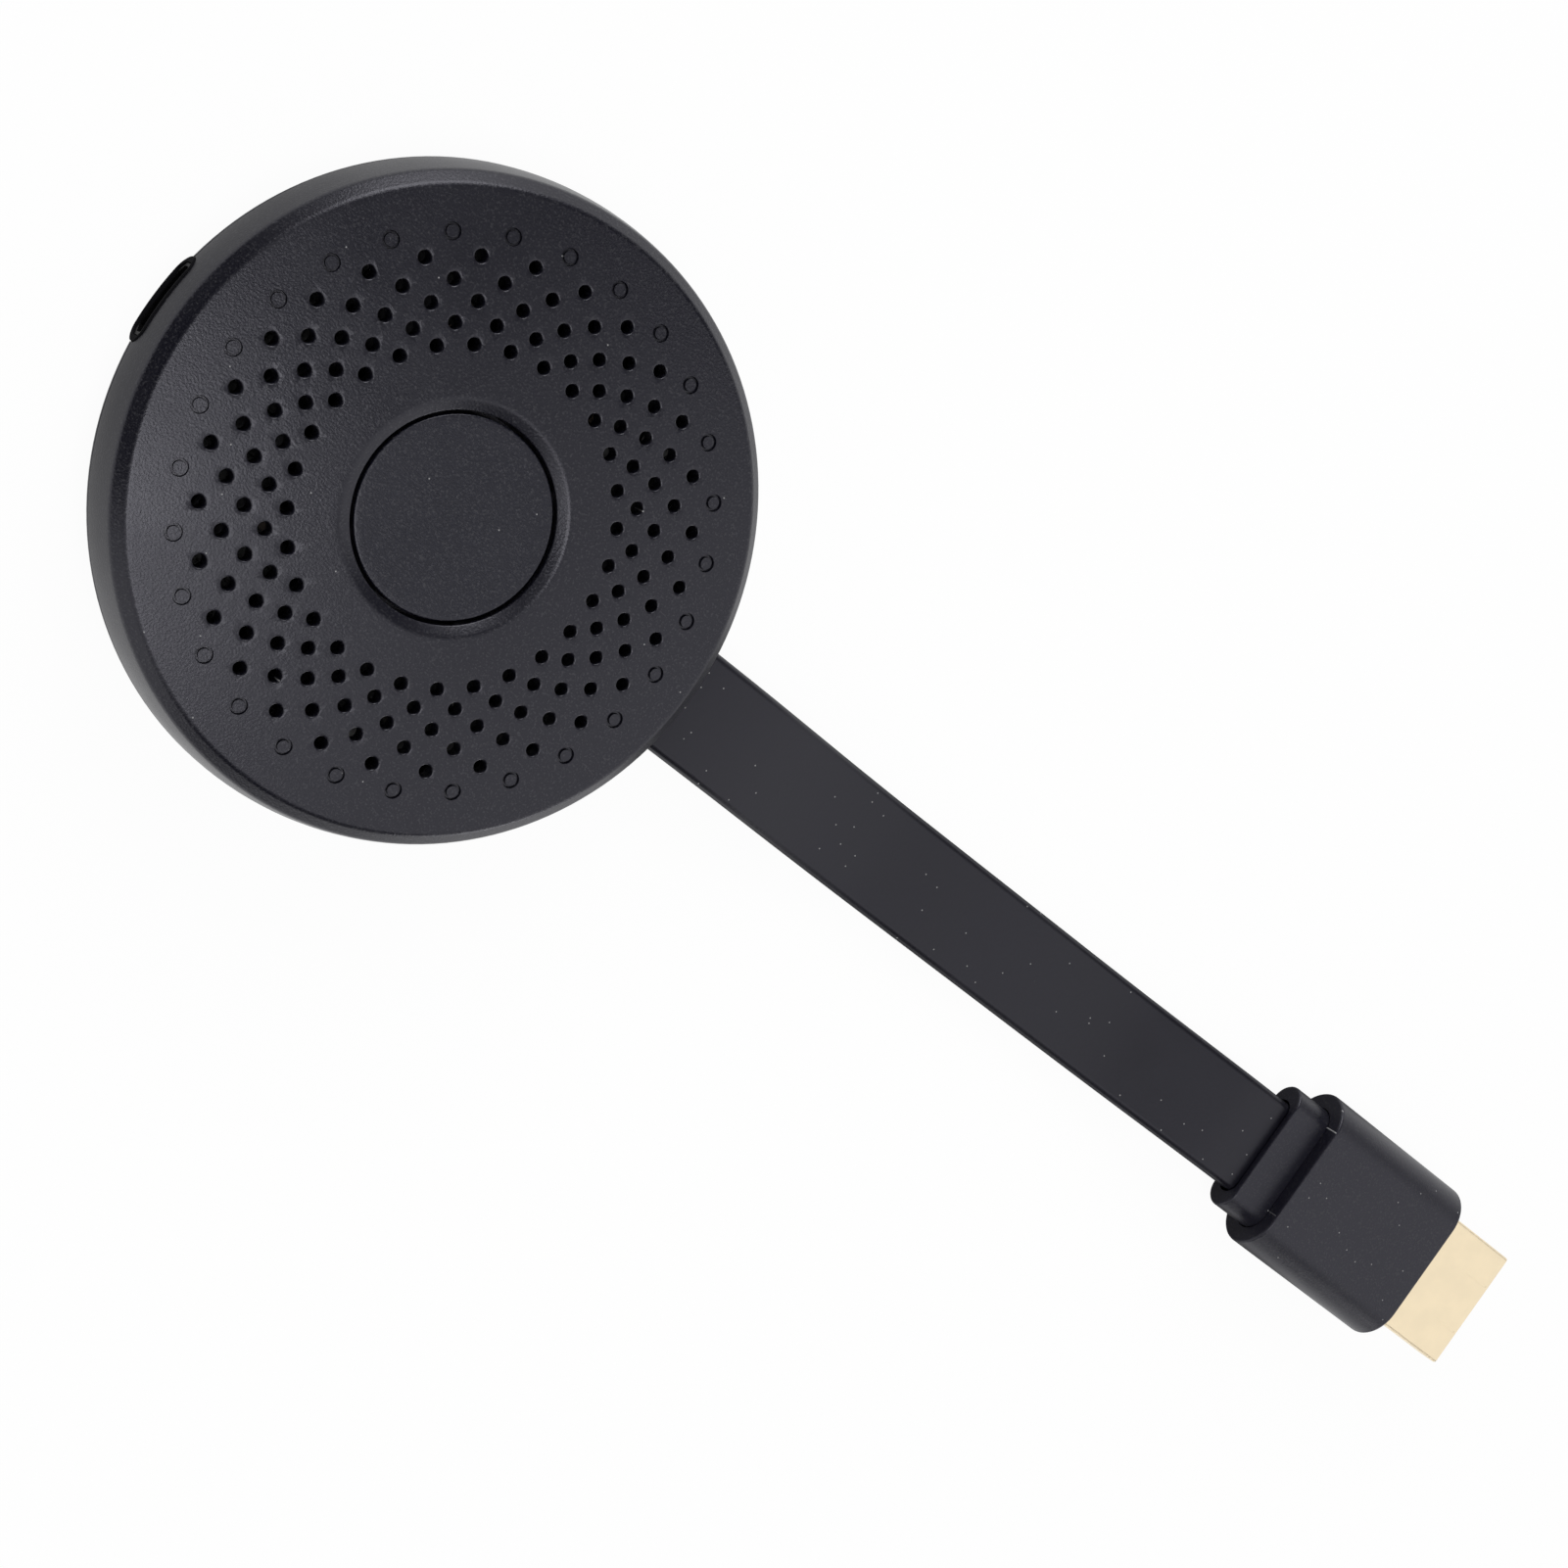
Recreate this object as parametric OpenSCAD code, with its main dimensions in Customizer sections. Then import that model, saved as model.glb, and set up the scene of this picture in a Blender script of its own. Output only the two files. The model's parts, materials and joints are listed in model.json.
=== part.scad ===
// Wireless display adapter: a round perforated case with a push button in its centre, a power socket in
// its rim and a flat cable that ends in a full-size display plug.
// The origin is on the case's axis at its base. +Z points out of the perforated face, +X along the cable.

/* [Case] */
// Diameter of the case at its parting line
case_d = 61; // [58:0.5:66]
// Height of the case at the middle of the dome, where the button is let in
case_h = 13; // [12.8:0.1:15]
// Height of the parting line between the two shells
parting_h = 5.2; // [5:0.1:5.6]
// Radius of the sphere that the domed face follows
dome_r = 236; // [200:2:400]
// Width and height of the chamfer round the face
chamfer = 1.1; // [0.6:0.1:1.5]
// How far the side wall leans in, from the parting line to the chamfer
side_bulge = 0.6; // [0.3:0.1:1]
// How far the underside curves in, from the side of the case to its flat base
dish_reach = 9; // [8:0.5:10.5]
// Thickness of the side walls and of the floor
wall = 1.6; // [1.3:0.1:1.7]
// Thickness of the perforated face
face_t = 1.8; // [1.4:0.1:2]
// Width of the break along both edges at the parting line
edge_break = 0.15; // [0.05:0.05:0.3]
// Height of the lip that stands inside the front shell
lip_h = 1.2; // [1:0.1:1.6]
// Thickness of the lip
lip_t = 1.1; // [0.8:0.1:1.3]
// Clearance between parts that slip together
slip = 0.1; // [0.05:0.05:0.15]

/* [Vent holes] */
// Diameter of a vent hole
hole_d = 1.25; // [0.8:0.05:1.5]
// Number of holes in each ring
ring_holes = 28; // [20:1:32]
// Distance from the bevel round the button to the innermost ring of holes
holes_in = 4.65; // [4:0.05:5.5]
// Distance from the ring of blind marks to the edge of the face
holes_out = 4.05; // [3:0.05:5]
// Depth of a blind mark
mark_depth = 0.15; // [0.1:0.05:0.4]

/* [Button] */
// Diameter of the button
button_d = 18.3; // [16:0.1:18.6]
// Gap between the button and the face round it
button_gap = 0.35; // [0.3:0.05:0.6]
// Width of the bevel round the button
bevel_w = 1.05; // [0.6:0.05:1.4]
// Depth of the bevel
bevel_depth = 0.45; // [0.3:0.05:0.7]
// How far the top of the button lies below the top of the dome
button_drop = 0.75; // [0.5:0.05:0.9]
// Radius of the button's top edge
button_edge_r = 0.2; // [0.1:0.05:0.4]
// Travel of the button
button_travel = 0.4; // [0.25:0.05:0.5]
// Thickness of the button's top
button_t = 1.4; // [1:0.1:1.6]
// Thickness of the button's skirt
skirt_t = 0.9; // [0.7:0.1:1.1]

/* [Power socket] */
// Width of the socket's slot in the rim
slot_w = 9.1; // [8.8:0.1:9.4]
// Height of the socket's slot
slot_h = 3.4; // [3.3:0.1:3.6]
// Width of the metal shell of the socket
usb_w = 7.5; // [7:0.1:7.7]
// Height of the metal shell of the socket
usb_h = 2.5; // [2.4:0.1:2.6]
// Depth of the metal shell of the socket
usb_l = 5.6; // [4.8:0.1:5.8]
// Thickness of the socket's sheet metal
usb_t = 0.3; // [0.2:0.05:0.35]

/* [Flat cable] */
// Width of the flat cable
cable_w = 11; // [10.4:0.1:12]
// Thickness of the flat cable
cable_t = 2.4; // [2.2:0.1:2.4]
// Number of wires in each of the cable's two layers
layer_wires = 10; // [6:1:10]
// Diameter of one wire
wire_d = 0.7; // [0.5:0.05:0.75]
// Pitch of the wires and of the plug's contacts
pin_pitch = 1; // [0.9:0.05:1]

/* [Plug] */
// Width of the plug's body
plug_w = 18.7; // [17.8:0.1:20]
// Height of the plug's body
plug_h = 7.8; // [7.6:0.1:9]
// Length of the plug's body
plug_l = 20.8; // [20:0.1:24]
// Width of the collar behind the body
collar_w = 15; // [14:0.1:16]
// Height of the collar
collar_h = 4.4; // [4:0.1:5]
// Length of the collar
collar_l = 4.8; // [3:0.1:6]
// Width of the plug's metal shell
shell_w = 13.9; // [13.6:0.05:14]
// Height of the plug's metal shell
shell_h = 4.45; // [4.3:0.05:4.6]
// Length of the metal shell in front of the body
shell_out = 10; // [9:0.1:12]
// Thickness of the plug's sheet metal
shell_t = 0.35; // [0.25:0.05:0.4]

/* [Main board] */
// Gap between the main board and the lip round it
board_gap = 1.7; // [1.4:0.1:2.4]
// Thickness of the main board
board_t = 1; // [0.8:0.1:1.1]
// Diameter of a board screw's shank
screw_d = 1.6; // [1.4:0.1:1.8]
// Length of a board screw under its head
screw_l = 2.9; // [2.6:0.1:3]

/* [Hidden] */
$fn = 96;
ring_fn = 180;
hole_fn = 32;

// overrun of every cut, and the small sink that joins pieces of one solid
over = 1;
sink = 0.02;

// radii of the case, the button and the board
case_r = case_d / 2;
base_r = case_r - dish_reach;
lip_r = case_r - wall - slip;
board_r = lip_r - lip_t - board_gap;
face_r = case_r - side_bulge - chamfer;
button_r = button_d / 2;
bore_r = button_r + button_gap;
bevel_r = bore_r + bevel_w;
arc_steps = 8;

// rings of holes, and the ring of blind marks outside them
first_ring_r = bevel_r + holes_in;
mark_r = face_r - holes_out;
ring_shares = [0, 0.195, 0.39, 0.585, 0.79, 1];
ring_r = [for (share = ring_shares) first_ring_r + (mark_r - first_ring_r) * share];
holed_rings = len(ring_r) - 1;

// radii of the dome's outline points, which lie between the rings
between_r = [for (i = [1 : holed_rings]) (ring_r[i - 1] + ring_r[i]) / 2];
dome_stops = concat([bevel_r, 2 * first_ring_r - between_r[0]], between_r,
    [2 * mark_r - between_r[holed_rings - 1], face_r]);
dome_last = len(dome_stops) - 1;

// height of the domed face at a distance from the axis
function face_z(r) = case_h - r * r / (2 * dome_r);
function ceiling_z(r) = face_z(r) - face_t;

// side wall: an arc that is upright at the parting line
side_top_z = face_z(face_r) - chamfer;
side_rise = side_top_z - parting_h;
side_r = (side_rise * side_rise + side_bulge * side_bulge) / (2 * side_bulge);
function side_x(z) = case_r - side_r + sqrt(side_r * side_r - (z - parting_h) * (z - parting_h));

// underside: an arc that is level where it meets the base
skirt_h = 0.4;
skirt_z = parting_h - skirt_h;
dish_r = (dish_reach * dish_reach + skirt_z * skirt_z) / (2 * skirt_z);
function dish_angle(z, r) = -asin((dish_r - z) / r);

function arc_points(x, y, r, a0, a1, steps) = [for (i = [0 : steps])
    let (a = a0 + (a1 - a0) * i / steps) [x + r * cos(a), y + r * sin(a)]];

// guide barrel under the face, and the ribs of the button that slide in it
barrel_t = 1.2;
barrel_l = 2.2;
barrel_r = bore_r + barrel_t;
barrel_z = case_h - face_t - barrel_l;
rib_count = 4;
rib_w = 1.2;
rib_gap = 0.05;
rib_drop = 0.4;
flange_t = 0.8;
flange_rim = 0.75;
flange_gap = 0.1;
stem_d = 3;
stem_gap = 0.05;
button_top = case_h - button_drop;

// lip of the back shell, with its snap catches
lip_foot = 1.2;
catch_count = 4;
catch_turn = 45;
catch_arc = 12;
catch_out = 0.35;
catch_h = 0.5;
catch_z = parting_h + lip_h - catch_h;
catch_slack = 0.4;

// power socket: its face lies just behind the rim's outside
usb_setback = 0.25;
usb_x = usb_setback - case_r;
usb_corner = 0.7;
usb_back = 1.2;
tongue_w = 4.4;
tongue_t = 0.6;
tongue_setback = 0.7;
usb_pins = 5;
usb_pitch = 0.65;
usb_pin_w = 0.35;
usb_pin_t = 0.15;
usb_side_gap = 0.6;
bezel_out = 0.1;

// main board, its standoffs and its screws
board_top = parting_h - usb_h / 2;
board_z = board_top - board_t;
screw_turns = [50, 150, 290];
screw_ring_share = 0.86;
screw_ring_r = board_r * screw_ring_share;
screw_head_d = 3;
screw_head_h = 0.9;
screw_slack = 0.04;
standoff_d = 4.4;
drive_w = 0.4;
drive_l = 2;
drive_depth = 0.4;

// places of the parts on the board, as shares of the board's radius
processor_share = [0, 0.66];
memory_share = [-0.5, 0.42];
flash_share = [-0.6, -0.46];
wifi_share = [-0.1, -0.65];
crystal_share = [0.45, 0.52];
inductor_shares = [[-0.76, -0.2], [-0.54, -0.14]];
regulator_share = [-0.66, 0.08];
led_share = [0.78, 0.48];
capacitor_shares = [[0.3, 0.5], [0.3, 0.6], [0.3, 0.7], [0.3, 0.8], [-0.3, 0.5], [-0.3, 0.6], [-0.3, 0.7],
    [-0.3, 0.8], [-0.86, 0.16], [-0.86, 0.24], [0.2, -0.3], [0.2, -0.4], [-0.42, -0.3], [-0.42, -0.38]];
resistor_shares = [[0.6, 0.4], [0.66, 0.4], [0.72, 0.4], [0.6, -0.4], [0.66, -0.4], [0.3, -0.34],
    [0.36, -0.34], [0.42, -0.34], [-0.24, 0.34], [-0.16, 0.34], [-0.08, 0.34], [0, 0.34]];

// parts on the board: widths and lengths as shares of the board's radius, and heights
processor_w_share = 0.46;
processor_w = board_r * processor_w_share;
processor_h = 1.2;
chip_base_h = 0.35;
chip_step_share = 0.023;
chip_step = board_r * chip_step_share;
pad_w_share = 0.38;
pad_w = board_r * pad_w_share;
pad_t = 0.5;
sink_w = processor_w;
sink_base_share = 0.3;
sink_h_share = 0.78;
fin_count = 6;
fin_w_share = 0.06;
memory_w_share = 0.3;
memory_w = board_r * memory_w_share;
memory_l_share = 0.46;
memory_l = board_r * memory_l_share;
memory_h = 1.1;
flash_w_share = 0.15;
flash_w = board_r * flash_w_share;
flash_l_share = 0.19;
flash_l = board_r * flash_l_share;
flash_h = 1.5;
flash_legs = 4;
flash_pitch = flash_l / flash_legs;
leg_w_share = 0.35;
leg_w = flash_pitch * leg_w_share;
leg_t = 0.2;
leg_out_share = 0.038;
leg_out = board_r * leg_out_share;
wifi_w_share = 0.48;
wifi_w = board_r * wifi_w_share;
wifi_l_share = 0.5;
wifi_l = board_r * wifi_l_share;
wifi_t = 0.8;
pad_notch_d = 0.6;
pad_notches = 9;
shield_margin = 0.8;
shield_h = 1.5;
shield_t = 0.2;
shield_vent_d = 0.8;
antenna_turn = -42;
antenna_l_share = 0.58;
antenna_l = board_r * antenna_l_share;
antenna_w_share = 0.13;
antenna_w = board_r * antenna_w_share;
antenna_t = 0.3;
antenna_h = 3.6;
antenna_foot_share = 0.4;
antenna_foot = antenna_w * antenna_foot_share;
antenna_reach_share = 0.8;
crystal_w_share = 0.12;
crystal_w = board_r * crystal_w_share;
crystal_l_share = 0.1;
crystal_l = board_r * crystal_l_share;
crystal_h = 0.8;
inductor_w_share = 0.15;
inductor_w = board_r * inductor_w_share;
inductor_core_share = 0.8;
inductor_core_d = inductor_w * inductor_core_share;
inductor_h = 2;
regulator_w_share = 0.135;
regulator_w = board_r * regulator_w_share;
regulator_l_share = 0.16;
regulator_l = board_r * regulator_l_share;
regulator_h = 1.6;
capacitor_l_share = 0.06;
capacitor_l = board_r * capacitor_l_share;
capacitor_w = capacitor_l / 2;
resistor_l_share = 0.04;
resistor_l = board_r * resistor_l_share;
resistor_w = resistor_l / 2;
end_cap_share = 0.2;
cap_proud_share = 0.05;
led_l_share = 0.11;
led_l = board_r * led_l_share;
led_w = led_l / 2;
led_h = 1.3;
led_base_h = 0.5;

// push switch under the button
switch_w = 6;
switch_h = 5;
switch_base_h = 3.2;
cover_t = 0.3;
cover_leg_w = 2.4;
cover_leg_h = 1.6;
plunger_d = 3.5;
plunger_foot_d = 4.4;
plunger_slack = 0.1;
well_z = 1.5;
plunger_z = well_z + button_travel + slip;
plunger_foot_h = switch_base_h - plunger_z - slip;
snap_dome_d = 4.2;
snap_dome_t = 0.08;
terminal_w = 0.7;
terminal_t = 0.2;
terminal_out = 1.2;

// cable gland: a grommet on the cable, held between the rim and a cradle
cable_z = parting_h;
cable_slack = 0.2;
grommet_rim_w = 2;
grommet_rim_h = 0.7;
grommet_t = 2.5;
grommet_setback = 1.9;
grommet_w = cable_w + 2 * grommet_rim_w;
grommet_h = cable_t + 2 * grommet_rim_h;
grommet_x1 = case_r - wall - grommet_setback;
grommet_x0 = grommet_x1 - grommet_t;
cradle_t = 1.1;
cradle_rim = 1;
cradle_w = grommet_w + 2 * cradle_rim;
cradle_x = grommet_x0 - slip - cradle_t;
notch_gap = 0.4;
notch_x = cradle_x - notch_gap;
lip_gap_rim = 0.8;
tail_in = 1.6;
tail_x = notch_x - tail_in;

// connection of the cable's wires to the board
wire_run = 3;
wire_in = 1.2;
row_step = 1;
wire_plug_l = 3;
wire_plug_rim_w = 0.9;
wire_plug_rim_h = 0.55;
wire_hole_gap = 0.03;
header_wall = 0.7;
header_back_t = 1;
plug_in = 2.1;
pin_w = 0.4;
pin_in = 1.2;
pin_tail_gap = 0.4;
pin_gap = 0.03;

// flat cable: its route from the case to the plug, as distance from the axis and height, chosen by hand
route = [[30.4, 5.2], [33, 5.15], [36, 4.95], [39, 4.6], [42, 4.1], [45, 3.5], [48, 2.9], [51, 2.35],
    [54, 1.9], [57, 1.55], [60, 1.3], [64, 1.2], [70, 1.2], [76, 1.2], [82, 1.2], [88, 1.2], [93, 1.35],
    [97, 1.65], [101, 2.15], [105, 2.75], [109, 3.35], [112, 3.7], [115, 3.87], [117, 3.9]];
cable_end_points = 4;

// plug, from its collar to its tip
plug_x = route[len(route) - 1][0];
plug_z = plug_h / 2;
body_x = plug_x + collar_l;
front_x = body_x + plug_l;
tip_x = front_x + shell_out;
collar_in = 1;
mouth_gap = 0.3;
mouth_depth = 1.6;
core_wall = 1.2;
core_back = 2.4;
core_front = 2;
core_x0 = body_x + core_back;
core_x1 = front_x - core_front;
core_w = plug_w - 2 * core_wall;
core_h = plug_h - 2 * core_wall;
cable_in = 1.4;
shell_in = 7.4;
shell_x = core_x1 - shell_in + core_front;
shell_corner_w = 1.7;
shell_corner_h = 1.3;
shell_edge = 0.3;
insulator_setback = 1.1;
mouth_w = 11.6;
mouth_h = 1.9;
mouth_l = 8.4;
mouth_lift = 0.45;
contact_w = 0.45;
contact_t = 0.15;
contact_l = 7.2;
dimple_w = 1.2;
dimple_l = 3.6;
dimple_depth = 0.1;
dimple_y = 3;
dimple_setback = 1.2;

// outline of the front shell's wall, as radius and height
module front_profile() {
    polygon(concat(
        [[bore_r, face_z(bevel_r) - bevel_depth]],
        [for (r = dome_stops) [r, face_z(r)]],
        [for (i = [0 : arc_steps]) let (z = side_top_z - (side_rise - edge_break) * i / arc_steps)
            [side_x(z), z]],
        [[case_r - edge_break, parting_h]],
        [for (i = [0 : arc_steps]) let (z = parting_h + (ceiling_z(face_r) - parting_h) * i / arc_steps)
            [side_x(z) - wall, z]],
        [[face_r - wall, ceiling_z(face_r - wall)]],
        [for (i = [dome_last - 1 : -1 : 1]) [dome_stops[i], ceiling_z(dome_stops[i])]],
        [[barrel_r, ceiling_z(barrel_r)], [barrel_r, barrel_z], [bore_r, barrel_z]]));
}

// outline of the back shell's wall, and of the space that an inset of the whole shell takes up
module back_profile() {
    in_r = dish_r - wall;
    polygon(concat(
        [[0, 0]],
        arc_points(base_r, dish_r, dish_r, -90, dish_angle(skirt_z, dish_r), arc_steps),
        [[case_r, parting_h - edge_break], [case_r - edge_break, parting_h]],
        arc_points(base_r, dish_r, in_r, dish_angle(parting_h, in_r), -90, arc_steps),
        [[0, wall]]));
}

module back_fill(inset) {
    in_r = dish_r - inset;
    rotate_extrude($fn = ring_fn)
        polygon(concat(
            [[0, inset]],
            arc_points(base_r, dish_r, in_r, -90, dish_angle(parting_h, in_r), arc_steps),
            [[0, parting_h]]));
}

module ring_of_holes(r, turn, low) {
    for (i = [0 : ring_holes - 1])
        rotate([0, 0, turn + 360 * i / ring_holes])
            translate([r, 0, low])
                cylinder(d = hole_d, h = case_h + over - low, $fn = hole_fn);
}

module slot_2d(w, h) {
    square([w - h, h], center = true);
    for (s = [-1, 1])
        translate([s * (w - h) / 2, 0])
            circle(d = h, $fn = hole_fn);
}

// a bar with a round-ended section, along X from x0 to x1 at height z
module slot_bar(w, h, x0, x1, z) {
    translate([x0, 0, z])
        rotate([90, 0, 90])
            linear_extrude(height = x1 - x0)
                slot_2d(w, h);
}

// a block along X from x0 to x1, centred on y, from z0 to z1
module block(x0, x1, y, w, z0, z1) {
    translate([x0, y - w / 2, z0])
        cube([x1 - x0, w, z1 - z0]);
}

module catch_ring(inner, outer, z0, z1, slack) {
    spread = catch_arc + slack / case_r * 180 / PI;
    for (i = [0 : catch_count - 1])
        rotate([0, 0, catch_turn + 360 * i / catch_count - spread / 2])
            rotate_extrude(angle = spread, $fn = ring_fn)
                translate([inner, z0])
                    square([outer - inner, z1 - z0]);
}

// the openings in the rim that both shells share
module rim_openings() {
    slot_bar(slot_w, slot_h, -case_r - over, -case_r + wall + over, parting_h);
    slot_bar(cable_w + 2 * cable_slack, cable_t + 2 * cable_slack, cradle_x - over, case_r + over, cable_z);
}

module front_shell() {
    half_pitch = 180 / ring_holes;
    hole_low = ceiling_z(face_r) - over;
    color([0.17, 0.17, 0.18])
        difference() {
            union() {
                rotate_extrude($fn = ring_fn)
                    front_profile();
                block(cradle_x, cradle_x + cradle_t, 0, cradle_w, parting_h, ceiling_z(cradle_x) + sink);
            }
            for (i = [0 : holed_rings - 1])
                ring_of_holes(ring_r[i], (i + 1) % 2 * half_pitch, hole_low);
            ring_of_holes(mark_r, 0, face_z(mark_r) - mark_depth);
            catch_ring(lip_r - over, lip_r + catch_out + slip, catch_z - slip, catch_z + catch_h + slip,
                catch_slack);
            rim_openings();
        }
}

module at_screws() {
    for (a = screw_turns)
        rotate([0, 0, a])
            translate([screw_ring_r, 0, 0])
                children();
}

module back_shell() {
    lip_gap_w = grommet_w + 2 * lip_gap_rim;
    usb_gap_w = usb_w + 2 * usb_side_gap;
    color([0.16, 0.16, 0.17])
        difference() {
            union() {
                rotate_extrude($fn = ring_fn)
                    back_profile();
                rotate_extrude($fn = ring_fn)
                    translate([lip_r - lip_t, parting_h - lip_foot])
                        square([lip_t, lip_foot + lip_h]);
                catch_ring(lip_r - lip_t / 2, lip_r + catch_out, catch_z, catch_z + catch_h, 0);
                at_screws()
                    translate([0, 0, wall - sink])
                        cylinder(d = standoff_d, h = board_z - wall + sink);
                intersection() {
                    block(cradle_x, cradle_x + cradle_t, 0, cradle_w, 0, parting_h - slip);
                    back_fill(wall / 2);
                }
            }
            block(cradle_x + cradle_t, case_r + over, 0, lip_gap_w, parting_h, parting_h + lip_h + over);
            slot_bar(grommet_w + 2 * slip, grommet_h + 2 * slip, cradle_x + cradle_t, grommet_x1 + slip,
                cable_z);
            block(-case_r - over, usb_x + usb_l + over, 0, usb_gap_w, parting_h, parting_h + lip_h + over);
            block(-case_r + wall, usb_x + usb_l + over, 0, usb_gap_w, board_top - slip, parting_h + over);
            at_screws()
                translate([0, 0, board_top - screw_l - slip])
                    cylinder(d = screw_d + 2 * screw_slack, h = screw_l + over, $fn = hole_fn);
            rim_openings();
        }
}

// cap, skirt, flange and stem of the button, as radius and height
module button_profile() {
    flange_top = barrel_z - flange_gap;
    flange_low = flange_top - flange_t;
    polygon(concat(
        [[0, button_top]],
        arc_points(button_r - button_edge_r, button_top - button_edge_r, button_edge_r, 90, 0, arc_steps),
        [[button_r, flange_top], [bore_r + flange_rim, flange_top], [bore_r + flange_rim, flange_low],
            [button_r - skirt_t, flange_low], [button_r - skirt_t, button_top - button_t],
            [stem_d / 2, button_top - button_t], [stem_d / 2, board_top + switch_h + stem_gap],
            [0, board_top + switch_h + stem_gap]]));
}

module mode_button() {
    rib_top = case_h - face_t - rib_drop;
    color([0.15, 0.15, 0.16])
        union() {
            rotate_extrude($fn = ring_fn)
                button_profile();
            for (i = [0 : rib_count - 1])
                rotate([0, 0, 360 * i / rib_count + 45])
                    block(button_r - skirt_t / 2, bore_r - rib_gap, 0, rib_w, barrel_z - flange_gap - sink,
                        rib_top);
        }
}

module switch_body() {
    color([0.2, 0.2, 0.2])
        difference() {
            block(-switch_w / 2, switch_w / 2, 0, switch_w, board_top, board_top + switch_base_h);
            translate([0, 0, board_top + well_z])
                cylinder(d = plunger_foot_d + 2 * plunger_slack, h = switch_base_h);
        }
}

module switch_cover() {
    top_z = board_top + switch_base_h;
    color([0.75, 0.75, 0.76])
        union() {
            difference() {
                block(-switch_w / 2, switch_w / 2, 0, switch_w, top_z, top_z + cover_t);
                translate([0, 0, top_z - over])
                    cylinder(d = plunger_d + 2 * plunger_slack, h = 3 * over);
            }
            for (s = [-1, 1])
                block(-cover_leg_w / 2, cover_leg_w / 2, s * (switch_w + cover_t) / 2, cover_t,
                    top_z - cover_leg_h, top_z + cover_t);
        }
}

// snap dome: it stands on the well's floor, and its top meets the plunger
module switch_dome() {
    rise = plunger_z - well_z - snap_dome_t;
    foot = snap_dome_d / 2;
    rim = foot - snap_dome_t;
    color([0.8, 0.8, 0.8])
        translate([0, 0, board_top + well_z])
            rotate_extrude()
                polygon([[0, rise + snap_dome_t], [foot / 2, rise * 0.75 + snap_dome_t], [foot, 0], [rim, 0],
                    [foot / 2 - snap_dome_t, rise * 0.75], [0, rise]]);
}

module switch_plunger() {
    color([0.25, 0.25, 0.25])
        rotate_extrude()
            polygon([[0, board_top + plunger_z], [plunger_foot_d / 2, board_top + plunger_z],
                [plunger_foot_d / 2, board_top + plunger_z + plunger_foot_h],
                [plunger_d / 2, board_top + plunger_z + plunger_foot_h],
                [plunger_d / 2, board_top + switch_h], [0, board_top + switch_h]]);
}

module switch_terminals() {
    color([0.8, 0.8, 0.78])
        for (sx = [-1, 1])
            for (sy = [-1, 1])
                translate([sx * (switch_w + terminal_out) / 2, sy * switch_w / 3, board_top + terminal_t / 2])
                    cube([terminal_out, terminal_w, terminal_t], center = true);
}

module main_board() {
    color([0.07, 0.08, 0.08])
        difference() {
            translate([0, 0, board_z])
                cylinder(r = board_r, h = board_t, $fn = ring_fn);
            block(notch_x, board_r + over, 0, cradle_w + 2 * notch_gap, board_z - over, board_top + over);
            at_screws()
                translate([0, 0, board_z - over])
                    cylinder(d = screw_d + 2 * screw_slack, h = board_t + 2 * over, $fn = hole_fn);
        }
}

module board_screws() {
    color([0.7, 0.7, 0.7])
        at_screws()
            translate([0, 0, board_top])
                difference() {
                    union() {
                        translate([0, 0, -screw_l])
                            cylinder(d = screw_d, h = screw_l + sink, $fn = hole_fn);
                        cylinder(d = screw_head_d, h = screw_head_h, $fn = hole_fn);
                    }
                    for (a = [0, 90])
                        rotate([0, 0, a])
                            block(-drive_l / 2, drive_l / 2, 0, drive_w, screw_head_h - drive_depth,
                                screw_head_h + over);
                }
}

// moves its children to a place on the board, given as shares of the board's radius
module on_board(share) {
    translate([board_r * share[0], board_r * share[1], board_top])
        children();
}

// a chip with a thin base under a smaller moulded top
module stepped_chip(w, l, h) {
    union() {
        block(-w / 2, w / 2, 0, l, 0, chip_base_h);
        block(chip_step - w / 2, w / 2 - chip_step, 0, l - 2 * chip_step, chip_base_h - sink, h);
    }
}

module processor() {
    color([0.1, 0.1, 0.1])
        on_board(processor_share)
            stepped_chip(processor_w, processor_w, processor_h);
}

module thermal_pad() {
    color([0.4, 0.42, 0.45])
        on_board(processor_share)
            block(-pad_w / 2, pad_w / 2, 0, pad_w, processor_h, processor_h + pad_t);
}

module heat_sink() {
    base_z = processor_h + pad_t;
    sink_r = norm([board_r * processor_share[0] + sink_w / 2, board_r * processor_share[1] + sink_w / 2]);
    sink_room = ceiling_z(sink_r) - board_top - base_z;
    fin_t = sink_w * fin_w_share;
    fin_step = (sink_w - fin_t) / (fin_count - 1);
    color([0.15, 0.15, 0.16])
        on_board(processor_share)
            union() {
                block(-sink_w / 2, sink_w / 2, 0, sink_w, base_z,
                    base_z + sink_room * sink_h_share * sink_base_share);
                for (i = [0 : fin_count - 1])
                    translate([i * fin_step - sink_w / 2, 0, 0])
                        block(0, fin_t, 0, sink_w, base_z, base_z + sink_room * sink_h_share);
            }
}

module memory_chip() {
    color([0.11, 0.11, 0.11])
        on_board(memory_share)
            stepped_chip(memory_w, memory_l, memory_h);
}

module flash_chip() {
    color([0.12, 0.12, 0.12])
        on_board(flash_share)
            union() {
                block(-flash_w / 2, flash_w / 2, 0, flash_l, leg_t, flash_h);
                for (s = [-1, 1])
                    for (i = [0 : flash_legs - 1])
                        translate([s * flash_w / 2, (i - (flash_legs - 1) / 2) * flash_pitch, 0])
                            block(-leg_out, leg_out, 0, leg_w, 0, leg_t + sink);
            }
}

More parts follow.
